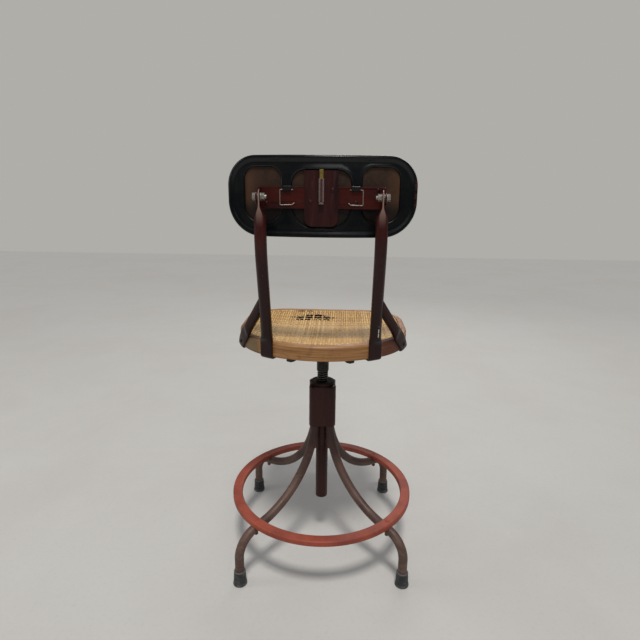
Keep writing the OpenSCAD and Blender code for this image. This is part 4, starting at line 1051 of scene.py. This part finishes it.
def brace_turn(z):
    """Angle on the side curve of the rim of the brace's flat end at height z."""
    return BRACE_A + (z - BRACE_MID_Z) * math.tan(BRACE_SLANT) / SIDE_CURVE_R


def on_rim(angle, forward, out, z):
    """A place by its distance forward along the rim from that angle, and its distance outside the rim."""
    a = angle - np.asarray(forward, float) / SIDE_CURVE_R
    r = SIDE_CURVE_R + out
    return np.stack([SIDE_CX + r * np.cos(a), SIDE_CY + r * np.sin(a), a * 0 + z], -1)


def brace_rings():
    """Folded under the rim, slanting up over its curved side, then opened out into the tube."""
    mid_out = CURVE_GAP + TONGUE_THIN
    slant_c, slant_s, slant_t = math.cos(BRACE_SLANT), math.sin(BRACE_SLANT), math.tan(BRACE_SLANT)
    low = RIM_Z - TONGUE_THIN
    # Top of the bend from the foot
    z0 = low + TONGUE_BEND_R
    foot_a = brace_turn(RIM_Z)
    # Places round a ring, along its width and its thickness
    edge = oval_ring(np.zeros(3), X, Y, 1, 1, 5)
    wide, thick = edge[:, 0] * TONGUE_HALF, edge[:, 1] * TONGUE_THIN
    rings = []
    # Foot, its width along the rim, by the distance in from the rim's side and the part of the full width
    for inward, grow in ((BRACE_FOOT_IN, 0.9), (BRACE_FOOT_IN - 0.8, 0.97), (16, 1), (10, 1),
                         (TONGUE_BEND_R - mid_out, 1)):
        rings.append(on_rim(foot_a, wide / slant_c * grow + inward * slant_t, -inward, low + thick))
    # Bent up
    for k in range(1, 7):
        b = math.radians(90 * k / 6)
        out = mid_out - TONGUE_BEND_R + (TONGUE_BEND_R - thick) * math.sin(b)
        z = z0 - (TONGUE_BEND_R - thick) * math.cos(b)
        shift = (TONGUE_BEND_R - mid_out) * slant_t * (1 - k / 6)
        angle = foot_a + (brace_turn(z0) - foot_a) * k / 6
        rings.append(on_rim(angle, wide / slant_c + shift, out, z))
    # Up the side of the rim; the rings turn from level to square across the band
    for k in range(1, 13):
        g = k / 12
        f = smooth_step(g / 0.75)
        along = -wide * slant_t * (1 - f)
        mid_z = z0 + (BRACE_FLAT_TOP - z0) * g
        forward = wide * slant_c - along * slant_s
        up = wide * slant_s + along * slant_c
        rings.append(on_rim(brace_turn(mid_z), forward, mid_out - thick, mid_z + up))
    # Opens out into the tube
    knee_at = len(rings)
    top_a = brace_turn(BRACE_FLAT_TOP)
    start = on_rim(top_a, 0, mid_out, BRACE_FLAT_TOP)
    inner = -np.array([math.cos(top_a), math.sin(top_a), 0])
    ahead = np.array([math.sin(top_a), -math.cos(top_a), 0])
    u0 = ahead * slant_c + Z * slant_s
    brace_z = SEAT_H + BRACE_H
    end = np.array([POST_X, POST_LOW_Y + (brace_z - POST_LEAN_Z) * math.tan(POST_LEAN), brace_z])
    length = np.linalg.norm(end - start)
    d = (end - start) / length
    u1 = unit(u0 - d * np.dot(u0, d))
    v1 = unit(inner - d * np.dot(inner, d) - u1 * np.dot(inner, u1))
    neck = start + d * BRACE_NECK
    knee = start + (Z * slant_c - ahead * slant_s) * 8
    for k in range(1, 10):
        g = k / 9
        p = (1 - g) ** 2 * start + 2 * g * (1 - g) * knee + g * g * neck
        rings.append(blend_ring(p, u0, inner, u1, v1, TUBE_R, g))
    # Round tube, up to 4 mm short of the post's middle
    for k in range(1, 9):
        p = neck + d * (length - BRACE_NECK - 4) * k / 8
        rings.append(oval_ring(p, u1, v1, TUBE_R, TUBE_R, 2))
    soften(rings, knee_at - 4, knee_at + 8, 8)
    return rings


for sign, side in SIDES:
    post = loft("bent_post_" + side, mirrored(post_rings(), sign), mat_post, "seat")
    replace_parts(post, "post_" + side)
    brace = loft("bent_brace_" + side, mirrored(brace_rings(), sign), mat_brace, "seat")
    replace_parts(brace, "brace_" + side)


# Backrest
def shell_y(x):
    """Y of the shell's rear face."""
    return CURVE_CY + np.sqrt(SHELL_CURVE_R ** 2 - np.asarray(x, float) ** 2)


def rounded_rect(w, h, r, centre, low_r, step):
    """Anticlockwise points of a rounded rectangle in x and z, with its own radius for the lower corners."""
    corners = []
    for cx, cz, a0, cr in ((1, 1, 0, r), (-1, 1, 90, r), (-1, -1, 180, low_r), (1, -1, 270, low_r)):
        mid = (centre[0] + cx * (w / 2 - cr), centre[1] + cz * (h / 2 - cr))
        n = max(4, int(cr * math.pi / 2 / step))
        angles = [math.radians(a0 + 90 * k / n) for k in range(n + 1)]
        corners.append([(mid[0] + cr * math.cos(a), mid[1] + cr * math.sin(a)) for a in angles])
    pts = []
    for arc, following in zip(corners, corners[1:] + corners[:1]):
        pts += arc
        a, b = arc[-1], following[0]
        m = int(math.dist(a, b) / step)
        pts += [(a[0] + (b[0] - a[0]) * k / m, a[1] + (b[1] - a[1]) * k / m) for k in range(1, m)]
    return pts


# Rounded rectangles: width, height, upper radius, middle, lower radius
SHELL = (SHELL_W, SHELL_H, SHELL_R, (0, SHELL_Z), SHELL_LOW_R)
SIDE_W = 75.4
SIDE_OPEN_X = WEB_X + WEB_W / 2 + SIDE_W / 2
MID_OPEN = (2 * WEB_IN_X, 112, 26, (0, SHELL_Z - 4.5), 46)
OPENINGS = [MID_OPEN] + [(SIDE_W, 108, 22, (s * SIDE_OPEN_X, SHELL_Z + 3.8), 30) for s in (-1, 1)]
# Depth of the shell's face by the distance inside its outline
INSETS = [0, 0.5, 1.5, 3, 4.5, 7, 9.5, 12, 15, 19, 26]
DEPTHS = [5, 2.7, 1.1, 0.15, 0.0, 0.3, 1.6, 3.1, 3.4, 2.9, 2.6]
# Places of the rings of the rolled edge inside the outline, and of the beads' rings outside an opening
ROLL_RINGS = [0.0, 0.5, 1.5, 3.0, 4.5, 6.0, 7.5, 9.0, 10.5, 12.0, 14.0, 16.0]
BEAD_RINGS = [0.0, 0.8, 1.8, 3.0, 4.2, 5.4, 6.6]


def box_distance(x, z, w, h, r, centre, low_r):
    """Distance outside a rounded rectangle, below 0 inside."""
    radius = np.where(np.asarray(z) > centre[1], r, low_r)
    qx, qz = np.abs(x - centre[0]) - (w / 2 - radius), np.abs(z - centre[1]) - (h / 2 - radius)
    return np.hypot(np.maximum(qx, 0), np.maximum(qz, 0)) + np.minimum(np.maximum(qx, qz), 0) - radius


def shell_depth(x, z):
    """How far the pressed sheet lies in front of the rear face of the roll."""
    x, z = np.asarray(x, float), np.asarray(z, float)
    d = np.interp(-box_distance(x, z, *SHELL), INSETS, DEPTHS)
    for opening in OPENINGS:
        e = box_distance(x, z, *opening)
        bead = 1.3 if opening is MID_OPEN else 0.5
        d = d - bead * np.exp(-((e - 4.2) / 2.3) ** 2) + 2.2 * np.exp(-((e + 0.2) / 1.2) ** 2)
    return d


def on_shell(x, z):
    """The place on the pressed sheet at that x and z."""
    return x, float(shell_y(x)) - float(shell_depth(x, z)), z


def inset(outline, o, count, least=0.6):
    """The outline drawn in by o, as that many points at even distances."""
    w, h, r, centre, low_r = outline
    pts = rounded_rect(w - 2 * o, h - 2 * o, max(least, r - o), centre, max(least, low_r - o), 1.0)
    pts = np.array(pts + pts[:1])
    run = run_along(pts)
    at = np.arange(count) / count * run[-1]
    return np.stack([np.interp(at, run, pts[:, 0]), np.interp(at, run, pts[:, 1])], 1)


def open_sheet(verts, loops):
    """Faces of the sheet between the rolled edge and the beads. Adds the places they need to verts."""
    pts, known, edges = [], [], []
    for loop in loops:
        first, n = len(pts), len(loop)
        pts += [Vector((verts[v][0], verts[v][2])) for v in loop]
        known += loop
        edges += [(first + i, first + (i + 1) % n) for i in range(n)]
    for x in np.arange(-SHELL_W / 2, SHELL_W / 2, 5.0):
        for z in np.arange(SHELL_Z - SHELL_H / 2, SHELL_Z + SHELL_H / 2, 5.0):
            clear = all(box_distance(x, z, *o) > BEAD_RINGS[-1] + 2.4 for o in OPENINGS)
            if clear and box_distance(x, z, *SHELL) < -ROLL_RINGS[-1] - 2.5:
                pts.append(Vector((x, z)))
                known.append(None)
    places, _, corners, sources, _, _ = delaunay_2d_cdt(pts, edges, [], 0, 1e-4)
    index = []
    for place, source in zip(places, sources):
        same = [known[i] for i in source if known[i] is not None]
        if not same:
            same = [len(verts)]
            verts.append(on_shell(place[0], place[1]))
        index.append(same[0])
    faces = []
    for face in corners:
        x, z = (sum(places[i][k] for i in face) / len(face) for k in (0, 1))
        clear = all(box_distance(x, z, *o) >= BEAD_RINGS[-1] for o in OPENINGS)
        if clear and box_distance(x, z, *SHELL) <= 0.1 - ROLL_RINGS[-1]:
            faces.append(tuple(index[i] for i in face))
    return faces


def shell_piece():
    """Flange and rolled edge, a bead round each opening, and the sheet between them."""
    n = len(rounded_rect(*SHELL, step=2.6))
    verts = []
    for k in range(4):
        back = FLANGE_D - (FLANGE_D - DEPTHS[0]) * k / 4
        verts += [(x, float(shell_y(x)) - back, z) for x, z in inset(SHELL, 0.0, n)]
    for o in ROLL_RINGS:
        verts += [on_shell(x, z) for x, z in inset(SHELL, o, n)]
    faces = grid_faces(4 + len(ROLL_RINGS), n)
    loops = [list(range(len(verts) - n, len(verts)))]
    for opening in OPENINGS:
        n = len(rounded_rect(*opening, step=2.6))
        start = len(verts)
        for o in BEAD_RINGS:
            verts += [on_shell(x, z) for x, z in inset(opening, -o, n)]
        faces += [tuple(start + i for i in f) for f in grid_faces(len(BEAD_RINGS), n)]
        loops.append(list(range(len(verts) - n, len(verts))))
    faces += open_sheet(verts, loops)
    o = mesh_object("pressed_shell", verts, faces, mat_shell, "back")
    with mesh_of(o) as bm:
        bmesh.ops.remove_doubles(bm, verts=bm.verts, dist=2e-6)
        bmesh.ops.recalc_face_normals(bm, faces=bm.faces)
        # Normals point to the rear
        if sum(f.normal.y * f.calc_area() for f in bm.faces) < 0:
            bmesh.ops.reverse_faces(bm, faces=bm.faces)
    s = o.modifiers.new("sheet", "SOLIDIFY")
    s.thickness = SHEET_T * 0.9 * MM
    s.offset = -1
    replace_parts(o, "back_shell")


shell_piece()


def tab_rings():
    """A tab of the shell, folded back over the bar and down behind the clip's wire."""
    x0, x1, half = WEB_IN_X + 0.4, WEB_IN_X + WEB_W - 4, SHEET_T / 2
    lip = PLATE_Y + WIRE_D + 4 * PRESS
    path = rounded([(float(shell_y(x0)) - WEB_DEPTH - half, TAB_TOP + half), (lip + half, TAB_TOP + half),
                    (lip + half, CLIP_Z - 2)], 1.6, 6)
    rings = []
    for k, (y, z) in enumerate(path):
        before, after = path[max(0, k - 1)], path[min(len(path) - 1, k + 1)]
        along = unit(np.subtract(after, before))
        at = np.array([(x0 + x1) / 2, y, z])
        rings.append(oval_ring(at, X, np.array([0, -along[1], along[0]]), (x1 - x0) / 2, half * 0.94, 8, 32))
    return rings


def clip_rings():
    """The clip's bent wire, in the plane behind the bar. Its path starts to the side, and turns down."""
    steps = [(WEB_W + 1.6, 2.5, 90), (BAR_H - 18, 2.5, 92), (WEB_W - 1.6, 2.5, 38), (5, 0, 0)]
    rings = []
    for p, a in bent_path(steps, straight=5, bend=12):
        at = np.array([WEB_IN_X - 3 + p[2], PLATE_Y + WIRE_D / 2 + PRESS, CLIP_Z - p[0]])
        across = np.array([-math.sin(a), 0, -math.cos(a)])
        rings.append(circle_ring(at, across, Y, WIRE_D / 2, 14))
    return rings


for sign, side in SIDES:
    loft("shell_tab_" + side, mirrored(tab_rings(), sign), mat_shell, "back")
for sign, side in SIDES:
    clip = loft("wire_clip_" + side, mirrored(clip_rings(), sign), mat_wire, "back")
    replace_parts(clip, "clip_" + side)


def pad_piece():
    """The padded front before it settles, by the distance in from the shell's outline and the depth."""
    prof = [(30, 0.6), (5, 0.6), (3, 3), (2.6, 7), (4.2, PAD_T * 0.6), (8, PAD_T * 0.74), (14, PAD_T * 0.84),
            (24, PAD_T * 0.92), (40, PAD_T * 0.97), (60, PAD_T * 0.98)]
    rings = []
    for o, d in prof:
        x, z = inset(SHELL, o, 180, 4).T
        rings.append(np.stack([x, shell_y(x) - (PAD_DEPTH + d), z], 1))
    return loft("back_cushion", rings, mat_pad, "back")


def settle(pad):
    """A short pressure simulation on an even remesh, with its movement capped to keep the pad in place."""
    scene = bpy.context.scene
    rm = pad.modifiers.new("remesh", "REMESH")
    rm.mode = "VOXEL"
    rm.voxel_size = 0.0045
    bpy.context.view_layer.objects.active = pad
    pad.select_set(True)
    bpy.ops.object.modifier_apply(modifier="remesh")
    before = np.array([v.co[:] for v in pad.data.vertices])
    rng = np.random.default_rng(3)
    seam_depth, jitter, furthest = PAD_DEPTH + 5, 0.00012, 0.0035
    vg = pad.vertex_groups.new(name="seam")
    depth = shell_y(before[:, 0] / MM) - before[:, 1] / MM
    for i, d in enumerate(depth):
        if d < seam_depth:
            vg.add([i], 1.0, "REPLACE")
    pad.data.vertices.foreach_set("co", (before + rng.normal(0, jitter, before.shape)).ravel())
    cl = pad.modifiers.new("cloth", "CLOTH")
    cs = cl.settings
    cs.quality = 5
    cs.mass = 0.35
    cs.tension_stiffness = cs.compression_stiffness = 8
    cs.shear_stiffness = 5
    cs.bending_stiffness = 0.4
    cs.use_pressure = True
    cs.uniform_pressure_force = 4
    cs.effector_weights.gravity = 0
    cs.vertex_group_mass = "seam"
    cs.shrink_min = -0.012
    cl.collision_settings.use_collision = False
    first, last = 1, 20
    scene.frame_start, scene.frame_end = first, last
    cl.point_cache.frame_start, cl.point_cache.frame_end = first, last
    for f in range(first, last + 1):
        scene.frame_set(f)
    bpy.ops.object.modifier_apply(modifier="cloth")
    scene.frame_set(first)
    after = np.array([v.co[:] for v in pad.data.vertices])
    move = after - before
    size = np.linalg.norm(move, axis=1, keepdims=True)
    move *= np.minimum(1, furthest / np.maximum(size, 1e-9))
    # What would come within 2 mm of the shell's outline stays where it was
    moved = before + move
    out = box_distance(moved[:, 0] / MM, moved[:, 2] / MM, *SHELL) > -2.0
    moved[out] = before[out]
    pad.data.vertices.foreach_set("co", moved.ravel())
    pad.data.update()
    sub = pad.modifiers.new("smooth", "SUBSURF")
    sub.levels = sub.render_levels = 1


cushion = pad_piece()
settle(cushion)
for poly in cushion.data.polygons:
    poly.use_smooth = True
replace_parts(cushion, "back_pad")

# Carried-over parts
dress("ring_bolts", mat_ring)
dress("ring_nuts", mat_leg, 0.4)
dress("stop_washer", mat_steel)
dress("stop_nut", mat_steel, 0.5)
dress("seat_iron", mat_iron, 0.8, 3)
for name in ("iron_screws", "post_screws", "brace_bolts"):
    dress(name, mat_iron)
for name in ("pivot_bolt_left", "pivot_nut_left", "pivot_bolt_right", "pivot_nut_right"):
    dress(name, mat_bolt, 0.5, 3)
dress("pivot_washers", mat_bolt, 0.25)
dress("crossbar", mat_bar, 0.5, 3)
dress("centre_plate", mat_plate, 0.4, 3)
dress("bar_rivets", mat_plate, 0.2)
dress("catch_channel", mat_channel, 0.25)
dress("catch_bolt", mat_catch, 0.5, 3)
dress("backing_panel", mat_fibre, 0.4)


# Floor, light and camera
def add_floor():
    """A pale, slightly cloudy floor."""
    t = Tree("floor")
    cloud = t.noise(1.6, 6, 0.6, 0.3)
    grit = t.noise(90, 4, 0.7)
    col = t.mix(t.span(cloud, 0.3, 0.75), (184, 182, 177), (177, 174, 169))
    col = t.mix(t.span(grit, 0.5, 0.8, 0, 0.25), col, (150, 147, 141))
    me = bpy.data.meshes.new("floor")
    me.from_pydata([(-6, -6, 0), (6, -6, 0), (6, 6, 0), (-6, 6, 0)], [], [(0, 1, 2, 3)])
    me.materials.append(t.finish(col, t.span(cloud, 0.2, 0.8, 0.5, 0.7), grit, 0.1, 0.0005))
    floor = add_object("floor", me)


def add_light(name, kind, power, color, direction):
    light = bpy.data.lights.new(name, kind)
    light.energy = power
    light.color = color
    ob = add_object(name, light)
    ob.rotation_mode = "QUATERNION"
    ob.rotation_quaternion = Vector(direction).to_track_quat("-Z", "Y")
    return ob


def add_area(name, loc, target, width, height, power, color=(1, 1, 1)):
    ob = add_light(name, "AREA", power, color, Vector(target) - Vector(loc))
    ob.location = loc
    ob.data.shape = "RECTANGLE"
    ob.data.size, ob.data.size_y = width, height


def add_world():
    """A pale room: grey behind the chair, a soft fill light, and a dimmer one in reflections."""
    world = bpy.data.worlds.new("soft")
    bpy.context.scene.world = world
    world.use_nodes = True
    nt = world.node_tree
    nt.nodes.clear()
    out = nt.nodes.new("ShaderNodeOutputWorld")
    path = nt.nodes.new("ShaderNodeLightPath")

    def background(color, strength):
        n = nt.nodes.new("ShaderNodeBackground")
        n.inputs[0].default_value = color
        n.inputs[1].default_value = strength
        return n.outputs[0]

    def by_ray(kind, others, those):
        n = nt.nodes.new("ShaderNodeMixShader")
        for socket, source in zip(n.inputs, (path.outputs[kind], others, those)):
            nt.links.new(source, socket)
        return n.outputs[0]

    sky = (0.92, 0.94, 1.0, 1)
    light = by_ray("Is Glossy Ray", background(sky, 0.36), background(sky, 0.1))
    seen = by_ray("Is Camera Ray", light, background(srgb(176, 174, 169), 1.0))
    nt.links.new(seen, out.inputs[0])


def photo_camera():
    """Where the photograph was taken from, with its picture 640 pixels wide."""
    yaw, pitch, roll = (math.radians(a) for a in (2.354, -14.687, 0.564))
    focal_px, picture_px, sensor = 500.67, 640, 36
    fwd = Vector((math.sin(yaw) * math.cos(pitch), -math.cos(yaw) * math.cos(pitch), math.sin(pitch)))
    level = Vector((-math.cos(yaw), -math.sin(yaw), 0))
    upright = level.cross(fwd)
    right = math.cos(roll) * level + math.sin(roll) * upright
    up = -math.sin(roll) * level + math.cos(roll) * upright
    data = bpy.data.cameras.new("camera")
    data.sensor_width = sensor
    data.lens = focal_px / picture_px * sensor
    data.clip_start, data.clip_end = 0.02, 50
    cam = add_object("camera", data)
    cam.rotation_mode = "QUATERNION"
    cam.rotation_quaternion = Matrix([[right[i], up[i], -fwd[i]] for i in range(3)]).to_quaternion()
    cam.location = (-0.0418, 1.2228, 0.938)
    bpy.context.scene.camera = cam


add_floor()
# High on the camera's side, so that the back throws its shadow over the seat
sun = add_light("key", "SUN", 2.15, (1.0, 0.985, 0.96), (0.04, -0.41, -1))
sun.data.angle = math.radians(11)
add_area("front", (-0.6, 2.6, 2.4), (0, 0, 0.7), 1.8, 1.0, 12, (0.97, 0.98, 1.0))
add_area("side", (2.2, 0.4, 1.6), (0, 0, 0.6), 0.5, 1.6, 8)
add_area("behind", (-0.6, -2.3, 2.0), (0, 0, 0.7), 1.8, 1.2, 14)
add_world()
photo_camera()
bpy.context.scene.view_settings.view_transform = "Standard"
